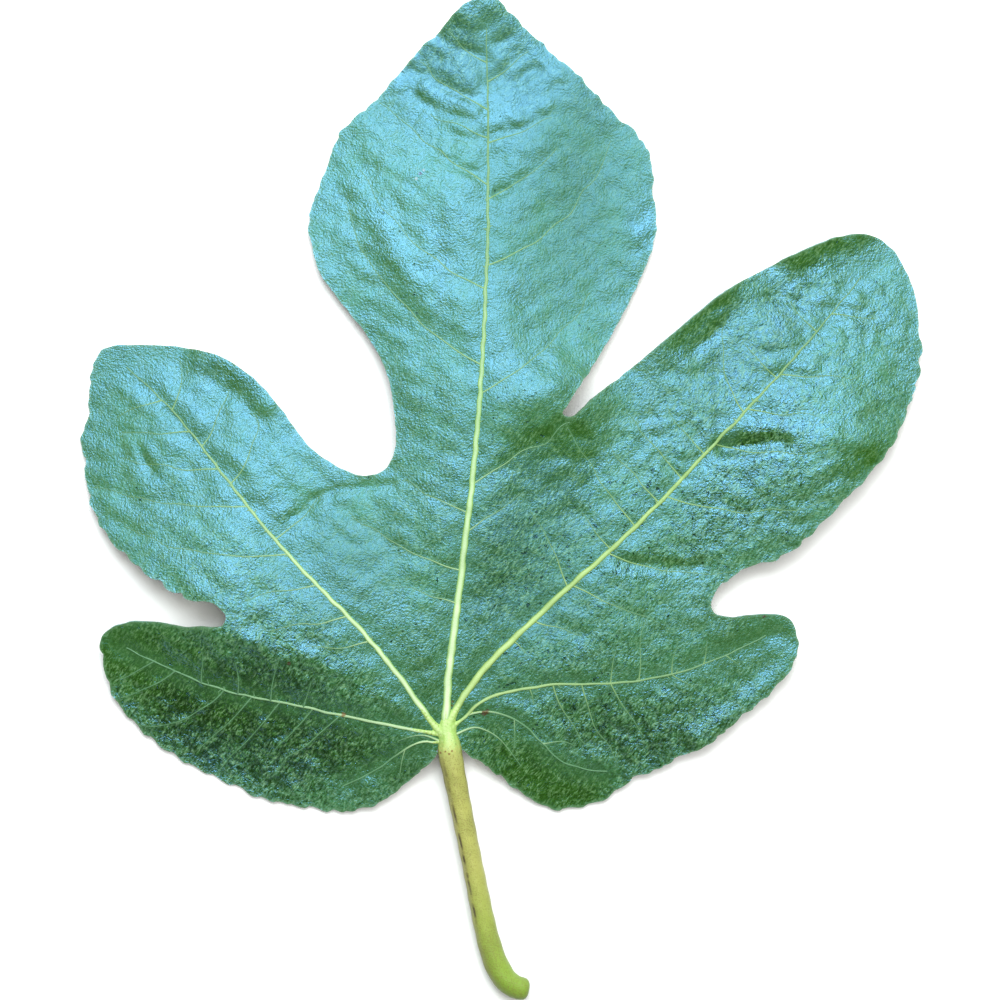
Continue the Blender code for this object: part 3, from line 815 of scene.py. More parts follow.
# Small shifts of the rim towards the photograph's: plan place, shift and reach.
RIM_SHIFTS = (
    ((-49.5, 25), (1.0, 1.3), 3.5),
    ((56.5, 30.5), (0.9, 0.4), 2.5),
    ((-76, 62), (-1.1, 0), 2.2),
    ((-30, -15), (0, 0.7), 8),
    ((-71.5, 13.5), (0.8, 0), 4),
    ((-9, 140), (0.5, -0.5), 8),
    ((74.5, 19), (-0.8, 0), 3),
    ((28.4, -15), (0, 0.8), 3),
    ((50.4, -4.2), (-0.3, 0.7), 3),
    ((-4.2, -6.5), (0, -0.8), 2),
    ((26.2, 69.3), (-0.3, -0.8), 2),
    ((95.6, 99.8), (-0.5, -0.5), 5),
)


@dataclass
class Blade:
    """The leaf's blade: a thin puckered sheet with a toothed rim."""

    relief: Relief
    outline: Points
    guides: list[Points]
    thickness: float
    hub: Points
    spacing: float = 0.72
    rim_step: float = 0.5
    rim_ease: float = 1.2
    tooth_spacing: tuple[float, float] = (2.2, 7.5)
    tooth_height: tuple[float, float] = (0.05, 0.6)
    rim_grow: float = 0.12
    sharp_angle: float = 50.0

    def rim(self) -> Points:
        """Return the rim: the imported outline, with its own uneven teeth where it is toothed."""
        line = curve_through(self.outline, self.rim_step, closed=True)
        toothed = 1 - self.eased(self.plain(line)[:, None], 1.5)[:, 0]
        eased = self.eased(line, self.rim_ease)
        base = line + (eased - line) * toothed[:, None]
        for place, shift, reach in RIM_SHIFTS:
            square = ((base - self.hub - np.array(place)) ** 2).sum(axis=1)
            base = base + np.exp(-square / reach ** 2)[:, None] * np.array(shift)
        ways = np.roll(base, -1, axis=0) - np.roll(base, 1, axis=0)
        ways /= np.linalg.norm(ways, axis=1)[:, None]
        out = np.column_stack([ways[:, 1], -ways[:, 0]])
        uneven = 0.05 * waves(base, 3.1, 7, SEED + 5)
        offset = (self.rim_grow + self.teeth(len(line))) * toothed + uneven
        return base + out * offset[:, None]

    @staticmethod
    def nearest(line: Points, place: Points) -> int:
        """Return the index of a line's point that is nearest to a place."""
        return int(np.linalg.norm(line - place, axis=1).argmin())

    def plain(self, line: Points) -> Points:
        """Return 1 for each point of the rim that lies on a stretch without teeth, else 0."""
        result = np.zeros(len(line))
        for start, end in PLAIN_STRETCHES:
            i = self.nearest(line, self.hub + np.array(start))
            j = self.nearest(line, self.hub + np.array(end))
            span = np.arange(i, j + (len(line) if j < i else 0) + 1) % len(line)
            result[span] = 1
        return result

    def eased(self, rows: Points, reach: float) -> Points:
        """Smooth rows round the closed rim by a bell of some reach in millimetres."""
        half = int(4 * reach / self.rim_step)
        bell = np.exp(-0.5 * (np.arange(-half, half + 1) * self.rim_step / reach) ** 2)
        bell /= bell.sum()
        wrapped = np.vstack([rows[-half:], rows, rows[:half]])
        return np.column_stack([np.convolve(column, bell, "valid") for column in wrapped.T])

    def teeth(self, count: int) -> Points:
        """Return uneven teeth round the rim, as offsets outwards that are 0 on the mean."""
        rng = np.random.default_rng(SEED + 6)
        offsets = np.zeros(count)
        start = 0
        while start < count:
            length = max(4, round(rng.uniform(*self.tooth_spacing) / self.rim_step))
            height = rng.uniform(*self.tooth_height)
            share = np.linspace(0, 1, length, endpoint=False)
            shape = np.minimum(share / 0.75, (1 - share) / 0.25)
            stop = min(start + length, count)
            offsets[start:stop] = (height * (shape - 0.5))[:stop - start]
            start += length
        return offsets

    @cached_property
    def border(self) -> Border:
        """The blade's rim."""
        return Border(self.rim())

    def plan(self) -> tuple[Points, list[tuple[int, ...]]]:
        """Return the blade's plan as points and triangles, finer along its veins."""
        rim = self.border.rim
        points = [rim]
        edges = [(i, (i + 1) % len(rim)) for i in range(len(rim))]
        gap = self.spacing * 0.6
        taken = Spots(self.spacing * 0.5)
        for guide in self.guides:
            line = even_steps(guide, self.spacing * 0.8)
            fresh = [p for p in line[self.border.clear(line, gap)] if taken.add_if_clear(p)]
            if fresh:
                points.append(np.array(fresh))
        low, high = rim.min(axis=0), rim.max(axis=0)
        columns = np.arange(low[0], high[0], self.spacing)
        rows = np.arange(low[1], high[1], self.spacing * 0.866)
        x, y = np.meshgrid(columns, rows)
        x = x + (np.arange(len(rows)) % 2)[:, None] * self.spacing / 2
        grid = np.column_stack([x.ravel(), y.ravel()])
        grid = grid[self.border.clear(grid, gap)]
        points.append(grid[[taken.is_clear(p) for p in grid]])
        coordinates = [Vector(p) for p in np.vstack(points)]
        result = delaunay_2d_cdt(coordinates, edges, [list(range(len(rim)))], 1, 1e-6)
        return np.array([tuple(p) for p in result[0]]), [tuple(f) for f in result[2]]

    def build(self, upper: bpy.types.Material, lower: bpy.types.Material) -> bpy.types.Object:
        """Model the blade and dress both its sides.

        Args:
            upper: The finish of the upper side.
            lower: The finish of the underside.

        Returns:
            The blade's object.
        """
        plan, triangles = self.plan()
        surface = self.relief.heights(plan)
        mesh = bpy.data.meshes.new("fig_blade")
        vertices = np.column_stack([plan, surface["z"]]) * MM
        mesh.from_pydata(vertices.tolist(), [], triangles)
        surface["edge"] = self.edge_mask(plan)
        for name in MASKS:
            layer = mesh.attributes.new(name, "FLOAT", "POINT")
            layer.data.foreach_set("value", surface[name].astype(np.float32))
        piece = bpy.data.objects.new("fig_blade", mesh)
        bpy.context.collection.objects.link(piece)
        mesh.materials.append(upper)
        mesh.materials.append(lower)
        select_only(piece)
        bpy.ops.object.mode_set(mode="EDIT")
        bpy.ops.mesh.select_all(action="SELECT")
        bpy.ops.mesh.normals_make_consistent(inside=False)
        bpy.ops.object.mode_set(mode="OBJECT")
        if mesh.polygons[0].normal.z < 0:
            mesh.flip_normals()
        apply_modifier(piece, "SOLIDIFY", thickness=self.thickness * MM, offset=-1.0, use_even_offset=False,
                       material_offset=1, material_offset_rim=0)
        select_only(piece)
        bpy.ops.object.shade_smooth_by_angle(angle=math.radians(self.sharp_angle))
        return piece

    def edge_mask(self, plan: Points) -> Points:
        """Return 1 at the rim's own points, which come first in the plan, and 0 inside."""
        mask = np.zeros(len(plan))
        mask[:len(self.border.rim)] = 1
        return mask


def flatten(piece: bpy.types.Object, courses: list[Course], crown: float, floors: Points) -> None:
    """Press tubes into low ridges that reach down through the blade, and mark how they fade.

    The attribute "fade" is the nearest centre point's own, and "side" runs from 0 on the centre line
    to 1 at the ridge's edge.

    Args:
        piece: The tubes.
        courses: Their centre lines and radii.
        crown: The upper half's height as a share of the radius.
        floors: The height that the lower half reaches down to, for each centre point.
    """
    line = np.vstack([course.line for course in courses])
    radii = np.concatenate([course.radii for course in courses])
    fades = np.concatenate([course.fade for course in courses])
    tree = KDTree(len(line))
    for i, place in enumerate(line):
        tree.insert(place, i)
    tree.balance()
    fade = np.zeros(len(piece.data.vertices), np.float32)
    side = np.zeros(len(piece.data.vertices), np.float32)
    for k, vertex in enumerate(piece.data.vertices):
        place = vertex.co / MM
        i = tree.find(place)[1]
        fade[k] = fades[i]
        side[k] = min(math.dist(place[:2], line[i][:2]) / radii[i], 1)
        above = place.z - line[i][2]
        if above > 0:
            z = line[i][2] + above * crown
        else:
            z = line[i][2] + above * (line[i][2] - floors[i]) / radii[i]
        vertex.co.z = max(z, 0.02) * MM
    for name, values in (("fade", fade), ("side", side)):
        layer = piece.data.attributes.new(name, "FLOAT", "POINT")
        layer.data.foreach_set("value", values)


@dataclass
class Rib:
    """One rib with its side veins and short spurs, as low ridges on the blade."""

    plan: RibPlan
    hub: Points
    relief: Relief | None = None
    border: Border | None = None
    tip_radius: float = 0.13
    crown: float = 0.42
    lift: float = 0.03
    hang: float = 1.1
    unevenness: float = 0.06
    wander: float = 0.06
    vein_root: float = 0.18
    companion_root: float = 0.32
    vein_tip: float = 0.07
    vein_hang: float = 0.3
    spur_spacing: tuple[float, float] = (3.5, 11.0)
    spur_length: tuple[float, float] = (0.6, 1.1)
    spur_share: float = 0.45
    least_spurred: float = 0.6

    def line(self) -> Points:
        """Return the rib's plan line in the frame."""
        return curve_through(self.plan.course, 0.8) + self.hub

    def measured(self) -> Points:
        """Return the part of the line that the side veins' places are measured along."""
        line = curve_through(self.plan.course[1:], 0.5)
        return line + self.hub

    def companion_lines(self) -> list[Points]:
        """Return the plan lines of the veins beside the rib, in the frame."""
        return [curve_through(course, 0.7) + self.hub for course in self.plan.companions]

    def vein_lines(self) -> list[Points]:
        """Return the side veins' plan lines in the frame, a little wavy."""
        measured = self.measured()
        lines = []
        for vein in self.plan.side_veins:
            line = side_vein_line(measured, vein, 0.7)
            ramp = np.linspace(0, 1, len(line))[:, None]
            stray = np.column_stack([waves(line, 8, 5, SEED + 10), waves(line, 8, 5, SEED + 11)])
            lines.append(line + 0.45 * ramp * stray)
        return lines

    def branches(self, trunk: Points, rng: np.random.Generator, spacing: tuple[float, float],
                 length: tuple[float, float], end: float) -> list[Points]:
        """Return short lines that leave both sides of a line, unevenly spread.

        Args:
            trunk: The line that they leave.
            rng: The source of their places, angles and lengths.
            spacing: The least and the greatest distance from one to the next.
            length: The least and the greatest length.
            end: The share of the line after which there are none.

        Returns:
            The branches' plan lines.
        """
        whole = distances_along(trunk)[-1]
        lines = []
        for side in Side:
            at = rng.uniform(*spacing)
            while at < whole * end:
                branch = SideVein(at, side.value * rng.uniform(48, 80), rng.uniform(*length),
                                  rng.uniform(-20, 30))
                lines.append(side_vein_line(trunk, branch, 0.4))
                at += rng.uniform(*spacing)
        return lines

    def radii(self, line: Points) -> Points:
        """Return the rib's radius along its line: tapering and a little uneven."""
        share = np.linspace(0, 1, len(line))
        base = self.plan.width / 2
        taper = self.tip_radius + (base - self.tip_radius) * (1 - share) ** 1.1
        return taper * (1 + self.unevenness * waves(line, 2.6, 9, SEED + 12))

    def course(self, line: Points, radii: Points, fade: Points) -> Course:
        """Lay a plan line on the blade's upper surface."""
        heights = self.relief.top(line) + self.lift
        return Course(np.column_stack([line, heights]), radii, fade)

    def vein_course(self, line: Points, root: float, tip: float, fade: tuple[float, float]) -> Course:
        """Lay a thin vein on the blade.

        Args:
            line: Its plan line.
            root: Its radius at its root.
            tip: Its radius at its end.
            fade: How far it has faded at its root and at its end.

        Returns:
            The vein's course.
        """
        share = np.linspace(0, 1, len(line))
        return self.course(line, tip + (root - tip) * (1 - share) ** 2,
                           fade[0] + (fade[1] - fade[0]) * share ** 0.5)

    def ridges(self, name: str, courses: list[Course], sides: int, hang: float) -> bpy.types.Object:
        """Model ridges that stand on the blade and hang some way under it."""
        piece = tubes(name, courses, sides)
        floors = [np.maximum(course.line[:, 2] - self.relief.thickness - hang * course.radii ** 0.5, 0.02)
                  for course in courses]
        flatten(piece, courses, self.crown, np.concatenate(floors))
        return piece

    def build(self, material: bpy.types.Material) -> bpy.types.Object:
        """Model the rib and its finer veins as one piece.

        Args:
            material: The ribs' finish.

        Returns:
            The rib's object.
        """
        rng = np.random.default_rng(SEED + len(self.plan.name))
        line = self.line()
        share = np.linspace(0, 1, len(line))
        wander = self.wander * np.column_stack([waves(line, 5, 7, SEED + 13), waves(line, 5, 7, SEED + 14)])
        main = self.course(line + wander, self.radii(line), np.interp(share, self.plan.fading, (0, 1)))
        veins = [self.vein_course(vein, self.vein_root, self.vein_tip, (self.plan.vein_fade, 1))
                 for vein in self.border.trimmed(self.vein_lines())]
        veins += [self.vein_course(vein, self.companion_root, self.vein_tip, (0.1, 1))
                  for vein in self.companion_lines()]
        spurs = []
        if self.plan.width > self.least_spurred:
            root = self.spur_share * self.plan.width / 2
            spurs = [self.vein_course(spur, root, 0.08, (self.plan.vein_fade, 0.9)) for spur in
                     self.branches(self.measured(), rng, self.spur_spacing, self.spur_length, 0.75)]
        pieces = [self.ridges(self.plan.name + "_dressed", [main], 5, self.hang),
                  self.ridges(self.plan.name + "_veins", veins + spurs, 2, self.vein_hang)]
        select_only(*pieces)
        bpy.ops.object.join()
        piece = bpy.context.object
        piece.data.materials.clear()
        piece.data.materials.append(material)
        return piece


@dataclass
class Stalk:
    """The leaf stalk with its swollen foot."""

    hub: Points
    course: tuple[tuple[float, float, float, float], ...] = (
        (0.7, 2.2, 5.6, 0.7), (0.8, 0.4, 5.5, 1.7), (0.9, -1.6, 5.3, 2.3), (1.1, -3.8, 5.1, 2.5),
        (2.3, -10, 4.9, 2.35), (4.3, -20, 4.4, 2.2), (6.3, -30, 3.8, 2.2), (8.3, -40, 3.1, 2.35),
        (10.1, -46.6, 2.7, 2.5), (12.2, -50.9, 2.6, 2.55), (14.6, -52.9, 2.6, 2.4), (16.2, -53.4, 2.5, 2.3))
    rounding: tuple[tuple[float, float], ...] = ((0.25, 0.95), (0.45, 0.8), (0.58, 0.55), (0.62, 0.25))
    groove_depth: float = 0.24

    def line(self) -> tuple[Points, Points]:
        """Return the stalk's centre line in the frame and its radius at each point."""
        line = curve_through(self.course, 0.8)
        places, radii = line[:, :3].copy(), line[:, 3].copy()
        way = directions(places)[-1]
        end = places[-1].copy()
        for ahead, share in self.rounding:
            places = np.vstack([places, end + way * ahead * line[-1, 3]])
            radii = np.append(radii, line[-1, 3] * share)
        places[:, :2] += self.hub
        return places, radii

    def build(self, material: bpy.types.Material) -> bpy.types.Object:
        """Model the stalk.

        Args:
            material: The stalk's finish.

        Returns:
            The stalk's object.
        """
        places, radii = self.line()
        piece = tubes("leaf_stalk_dressed", [Course(places, radii, radii * 0)], 8)
        self.shape(piece, places)
        piece.data.materials.append(material)
        return piece

    def shape(self, piece: bpy.types.Object, line: Points) -> None:
        """Press a shallow groove along the stalk's top and make its skin a little uneven.

        Args:
            piece: The stalk's object.
            line: Its centre line in millimetres.
        """
        tree = KDTree(len(line))
        for i, place in enumerate(line):
            tree.insert(place, i)
        tree.balance()
        across = np.zeros(len(piece.data.vertices), np.float32)
        for i, vertex in enumerate(piece.data.vertices):
            centre, _, _ = tree.find(vertex.co / MM)
            out = vertex.co / MM - centre
            if out.length < 0.5:
                continue
            unit = out.normalized()
            across[i] = unit.x if unit.z > -0.3 else 2
            groove = self.groove_depth * math.exp(-((unit.x - 0.55) / 0.16) ** 2) * max(unit.z, 0)
            uneven = 0.05 * math.sin(vertex.co.y / MM * 1.3 + 3 * unit.x)
            moved = vertex.co / MM + unit * (uneven - groove)
            vertex.co = Vector((moved.x, moved.y, max(moved.z, 0.02))) * MM
        layer = piece.data.attributes.new("across", "FLOAT", "POINT")
        layer.data.foreach_set("value", across)


@dataclass
class Hub:
    """The pale knot where the ribs run together over the stalk's top."""

    relief: Relief
    hub: Points
    ribs: list[Rib]
    stalk: Stalk
    arm_length: float = 8.0
    arm_swell: tuple[float, float] = (1.7, 0.85)
    arm_stand: float = 0.62
    core: tuple[float, float, float] = (0.4, 1.6, 0.8)
    core_radii: tuple[float, float, float] = (2.1, 4.4, 1.5)
    sleeve_length: float = 8.5
    sleeve_end: float = 3.5
    sleeve_skin: tuple[float, float] = (0.16, -0.3)
    voxel: float = 0.16
    smoothing: int = 5

    def arm(self, rib: Rib) -> Course:
        """Return a thickened copy of a rib's root, sunk so that only its top shows."""
        line = rib.line()
        line = line[distances_along(line) < self.arm_length]
        radii = rib.radii(rib.line())[:len(line)] * np.linspace(*self.arm_swell, len(line))
        stand = self.arm_stand * radii / radii[0] * min(1, rib.plan.width / 1.5)
        places = np.column_stack([line, self.relief.top(line) + stand - radii])
        return Course(places, radii, radii * 0)

    def sleeve(self) -> Course:
        """Return a skin over the stalk's top that thins out down the stalk."""
        places, radii = self.stalk.line()
        along = distances_along(places)
        near = along < self.sleeve_length
        radii = radii[near] + np.interp(along[near], (self.sleeve_length - self.sleeve_end, self.sleeve_length),
                                        self.sleeve_skin)
        return Course(places[near], radii, radii * 0)

    def build(self, material: bpy.types.Material) -> bpy.types.Object:
        """Model the knot as one smooth skin round the ribs' roots and the stalk's top.

        Args:
            material: Its finish.

        Returns:
            The knot's object.
        """
        courses = [self.arm(rib) for rib in self.ribs] + [self.sleeve()]
        roots = tubes("vein_hub_dressed", courses, 4)
        place = self.hub + np.array(self.core[:2])
        level = float(self.relief.top(place[None])[0]) + self.core[2] - self.core_radii[2]
        deselect()
        bpy.ops.mesh.primitive_uv_sphere_add(segments=32, ring_count=16, radius=MM,
                                             location=(*(place * MM), level * MM), scale=self.core_radii)
        core = bpy.context.object
        select_only(roots, core)
        bpy.ops.object.join()
        apply_modifier(roots, "REMESH", mode="VOXEL", voxel_size=self.voxel * MM)
        apply_modifier(roots, "SMOOTH", factor=0.5, iterations=self.smoothing)
        select_only(roots)
        bpy.ops.object.shade_smooth()
        self.mark_sides(roots, courses)
        roots.data.materials.clear()
        roots.data.materials.append(material)
        return roots

    @staticmethod
    def mark_sides(piece: bpy.types.Object, courses: list[Course]) -> None:
        """Give the knot the attribute "side": 0 over the middle of an arm, 1 at its edge and beyond."""
        line = np.vstack([course.line for course in courses])
        radii = np.concatenate([course.radii for course in courses])
        tree = KDTree(len(line))
        for i, (x, y, _) in enumerate(line):
            tree.insert((x, y, 0), i)
        tree.balance()
        sides = np.zeros(len(piece.data.vertices), np.float32)
        for k, vertex in enumerate(piece.data.vertices):
            _, i, away = tree.find((vertex.co.x / MM, vertex.co.y / MM, 0))
            sides[k] = min(away / radii[i], 1)
        layer = piece.data.attributes.new("side", "FLOAT", "POINT")
        layer.data.foreach_set("value", sides)


def node(tree: bpy.types.NodeTree, kind: str, **settings: object) -> bpy.types.Node:
    """Add a shader node and set its properties."""
    made = tree.nodes.new(kind)
    for name, value in settings.items():
        setattr(made, name, value)
    return made


def mixed(tree: bpy.types.NodeTree, factor: bpy.types.NodeSocket, first: object,
          second: object) -> bpy.types.NodeSocket:
    """Mix two colours by a factor.

    Args:
        tree: The node tree.
        factor: The socket that drives the mix.
        first: The first colour, or a socket that gives it.
        second: The second colour, or a socket that gives it.

    Returns:
        The mixed colour's socket.
    """
    made = node(tree, "ShaderNodeMix", data_type="RGBA")
    tree.links.new(factor, made.inputs["Factor"])
    for socket, value in ((made.inputs[6], first), (made.inputs[7], second)):
        if isinstance(value, bpy.types.NodeSocket):
            tree.links.new(value, socket)
        else:
            socket.default_value = (*value, 1)
    return made.outputs[2]


def ranged(tree: bpy.types.NodeTree, value: bpy.types.NodeSocket, low: float, high: float,
           to_low: float = 0.0, to_high: float = 1.0) -> bpy.types.NodeSocket:
    """Map a value from one range to another, clamped."""
    made = node(tree, "ShaderNodeMapRange")
    tree.links.new(value, made.inputs["Value"])
    for name, number in (("From Min", low), ("From Max", high), ("To Min", to_low), ("To Max", to_high)):
        made.inputs[name].default_value = number
    return made.outputs["Result"]


def summed(tree: bpy.types.NodeTree, first: bpy.types.NodeSocket,
           second: bpy.types.NodeSocket) -> bpy.types.NodeSocket:
    """Add two values."""
    made = node(tree, "ShaderNodeMath", operation="ADD")
    tree.links.new(first, made.inputs[0])
    tree.links.new(second, made.inputs[1])
    return made.outputs["Value"]


def grain_group() -> bpy.types.NodeTree:
    """Build the fine grain that all the leaf's surfaces share, once.

    Returns:
        A group with a Scale input and the outputs Net, Mottle, Fleck, Speck, Height and Leather.
    """
    name = "leaf grain"
    if name in bpy.data.node_groups:
        return bpy.data.node_groups[name]
    group = bpy.data.node_groups.new(name, "ShaderNodeTree")
    scale = group.interface.new_socket(name="Scale", in_out="INPUT", socket_type="NodeSocketFloat")
    scale.default_value = 1.0
    for output in ("Net", "Mottle", "Fleck", "Speck", "Height", "Leather"):
        group.interface.new_socket(name=output, in_out="OUTPUT", socket_type="NodeSocketFloat")
    inlet = node(group, "NodeGroupInput")
    outlet = node(group, "NodeGroupOutput")
    place = node(group, "ShaderNodeTexCoord")
    sized = node(group, "ShaderNodeVectorMath", operation="SCALE")
    group.links.new(place.outputs["Object"], sized.inputs[0])
    group.links.new(inlet.outputs["Scale"], sized.inputs["Scale"])
    stray = node(group, "ShaderNodeTexNoise")
    stray.inputs["Scale"].default_value = 300
    group.links.new(sized.outputs["Vector"], stray.inputs["Vector"])
    bent = node(group, "ShaderNodeVectorMath", operation="MULTIPLY_ADD")
    bent.inputs[1].default_value = (0.0014, 0.0014, 0.0014)
    group.links.new(stray.outputs["Color"], bent.inputs[0])
    group.links.new(sized.outputs["Vector"], bent.inputs[2])
    nets = []
    for scale, width in ((190, 0.035), (520, 0.06)):
        cells = node(group, "ShaderNodeTexVoronoi", feature="DISTANCE_TO_EDGE")
        cells.inputs["Scale"].default_value = scale
        group.links.new(bent.outputs["Vector"], cells.inputs["Vector"])
        nets.append(ranged(group, cells.outputs["Distance"], 0.0, width, 1.0, 0.0))
    net = node(group, "ShaderNodeMath", operation="MULTIPLY_ADD")
    group.links.new(nets[1], net.inputs[0])
    net.inputs[1].default_value = 0.4
    group.links.new(nets[0], net.inputs[2])
    group.links.new(net.outputs["Value"], outlet.inputs["Net"])
    mottle = node(group, "ShaderNodeTexNoise")
    mottle.inputs["Scale"].default_value = 90
    mottle.inputs["Detail"].default_value = 4
    mottle.inputs["Roughness"].default_value = 0.62
    group.links.new(sized.outputs["Vector"], mottle.inputs["Vector"])
    group.links.new(mottle.outputs["Fac"], outlet.inputs["Mottle"])
    fleck = node(group, "ShaderNodeTexNoise")
    fleck.inputs["Scale"].default_value = 900
    fleck.inputs["Detail"].default_value = 3
    fleck.inputs["Roughness"].default_value = 0.7
    group.links.new(bent.outputs["Vector"], fleck.inputs["Vector"])
    group.links.new(fleck.outputs["Fac"], outlet.inputs["Fleck"])
    speck = node(group, "ShaderNodeTexNoise")
    speck.inputs["Scale"].default_value = 2100
    speck.inputs["Detail"].default_value = 2
    speck.inputs["Roughness"].default_value = 0.7
    drawn = node(group, "ShaderNodeMapping", vector_type="TEXTURE")
    drawn.inputs["Rotation"].default_value = (0.0, 0.0, 0.9)
    drawn.inputs["Scale"].default_value = (2.2, 0.85, 1.6)
    group.links.new(bent.outputs["Vector"], drawn.inputs["Vector"])
    group.links.new(drawn.outputs["Vector"], speck.inputs["Vector"])
    group.links.new(speck.outputs["Fac"], outlet.inputs["Speck"])
    domes = node(group, "ShaderNodeTexVoronoi", feature="DISTANCE_TO_EDGE")
    domes.inputs["Scale"].default_value = 760
    domes.inputs["Detail"].default_value = 1
    domes.inputs["Roughness"].default_value = 0.6
    group.links.new(bent.outputs["Vector"], domes.inputs["Vector"])
    leather = ranged(group, domes.outputs["Distance"], 0.0, 0.4, 0.0, 1.0)
    group.links.new(leather, outlet.inputs["Leather"])
    height = ranged(group, net.outputs["Value"], 0.0, 1.0, 0.2, 0.0)
    for scale, share in ((520, 0.35), (1200, 0.9), (2400, 1.4)):
        noise = node(group, "ShaderNodeTexNoise")
        noise.inputs["Scale"].default_value = scale
        noise.inputs["Detail"].default_value = 2
        group.links.new(sized.outputs["Vector"], noise.inputs["Vector"])
        added = node(group, "ShaderNodeMath", operation="MULTIPLY_ADD")
        group.links.new(noise.outputs["Fac"], added.inputs[0])
        added.inputs[1].default_value = share
        group.links.new(height, added.inputs[2])
        height = added.outputs["Value"]
    group.links.new(height, outlet.inputs["Height"])
    return group


def new_material(name: str) -> tuple[bpy.types.Material, bpy.types.NodeTree, bpy.types.Node]:
    """Make a material and return it with its node tree and its Principled shader."""
    material = bpy.data.materials.new(name)
    material.use_nodes = True
    tree = material.node_tree
    return material, tree, tree.nodes["Principled BSDF"]


def grain_node(tree: bpy.types.NodeTree, scale: float) -> bpy.types.Node:
    """Place the shared grain in a material at a scale."""
    made = node(tree, "ShaderNodeGroup", node_tree=grain_group())
    made.inputs["Scale"].default_value = scale
    return made


def bumped(tree: bpy.types.NodeTree, shader: bpy.types.Node, height: bpy.types.NodeSocket,
           depth: float) -> None:
    """Feed a height in millimetres to the shader's normal."""
    bump = node(tree, "ShaderNodeBump")
    bump.inputs["Strength"].default_value = 1.0
    bump.inputs["Distance"].default_value = depth * MM
    tree.links.new(height, bump.inputs["Height"])
    tree.links.new(bump.outputs["Normal"], shader.inputs["Normal"])


# Single spots on the leaf: x and y from the hub, size and colour.
MARKS = (
    (-4.5, 118.7, 0.35, (0.26, 0.24, 0.16)),
    (-5.2, 118.0, 0.5, (0.09, 0.05, 0.01)),
    (-6.1, 116.9, 0.35, (0.25, 0.3, 0.2)),
    (8.5, 5.1, 0.9, (0.075, 0.035, 0.004)),
    (-21.2, 4.6, 0.6, (0.16, 0.1, 0.03)),
    (-32.3, 15.6, 0.45, (0.06, 0.035, 0.01)),
    (66.8, 25.0, 0.4, (0.07, 0.04, 0.01)),
    (61.5, 26.0, 0.3, (0.07, 0.04, 0.01)),
    (1.6, 7.4, 0.35, (0.1, 0.085, 0.008)),
    (1.5, 6.6, 0.3, (0.12, 0.1, 0.01)),
    (-1.6, -3.0, 0.3, (0.18, 0.1, 0.03)),
    (-0.9, -3.3, 0.25, (0.2, 0.12, 0.04)),
    (0.1, -2.9, 0.25, (0.18, 0.1, 0.03)),
    (0.9, -3.4, 0.3, (0.2, 0.12, 0.04)),
    (1.5, -2.8, 0.25, (0.2, 0.12, 0.04)),
)


def marked(tree: bpy.types.NodeTree, colour: bpy.types.NodeSocket, grain: bpy.types.Node,
           hub: tuple[float, float]) -> bpy.types.NodeSocket:
    """Put the leaf's few single spots on a colour, ragged at their edges.

    Args:
        tree: The node tree.
        colour: The colour under the spots.
        grain: The material's grain node.
        hub: The hub's place in the frame, in millimetres.

    Returns:
        The colour with the spots.
    """
    place = node(tree, "ShaderNodeTexCoord")
    flat = node(tree, "ShaderNodeVectorMath", operation="MULTIPLY")
    flat.inputs[1].default_value = (1, 1, 0)
    tree.links.new(place.outputs["Object"], flat.inputs[0])
    for x, y, size, spot in MARKS:
        away = node(tree, "ShaderNodeVectorMath", operation="DISTANCE")
        away.inputs[1].default_value = ((hub[0] + x) * MM, (hub[1] + y) * MM, 0)
        tree.links.new(flat.outputs["Vector"], away.inputs[0])
        ragged = ranged(tree, grain.outputs["Fleck"], 0.3, 0.7, -0.5 * size * MM, 0.5 * size * MM)
        reach = summed(tree, away.outputs["Value"], ragged)
        colour = mixed(tree, ranged(tree, reach, 0.6 * size * MM, size * MM, 0.9, 0.0), colour, spot)
    return colour


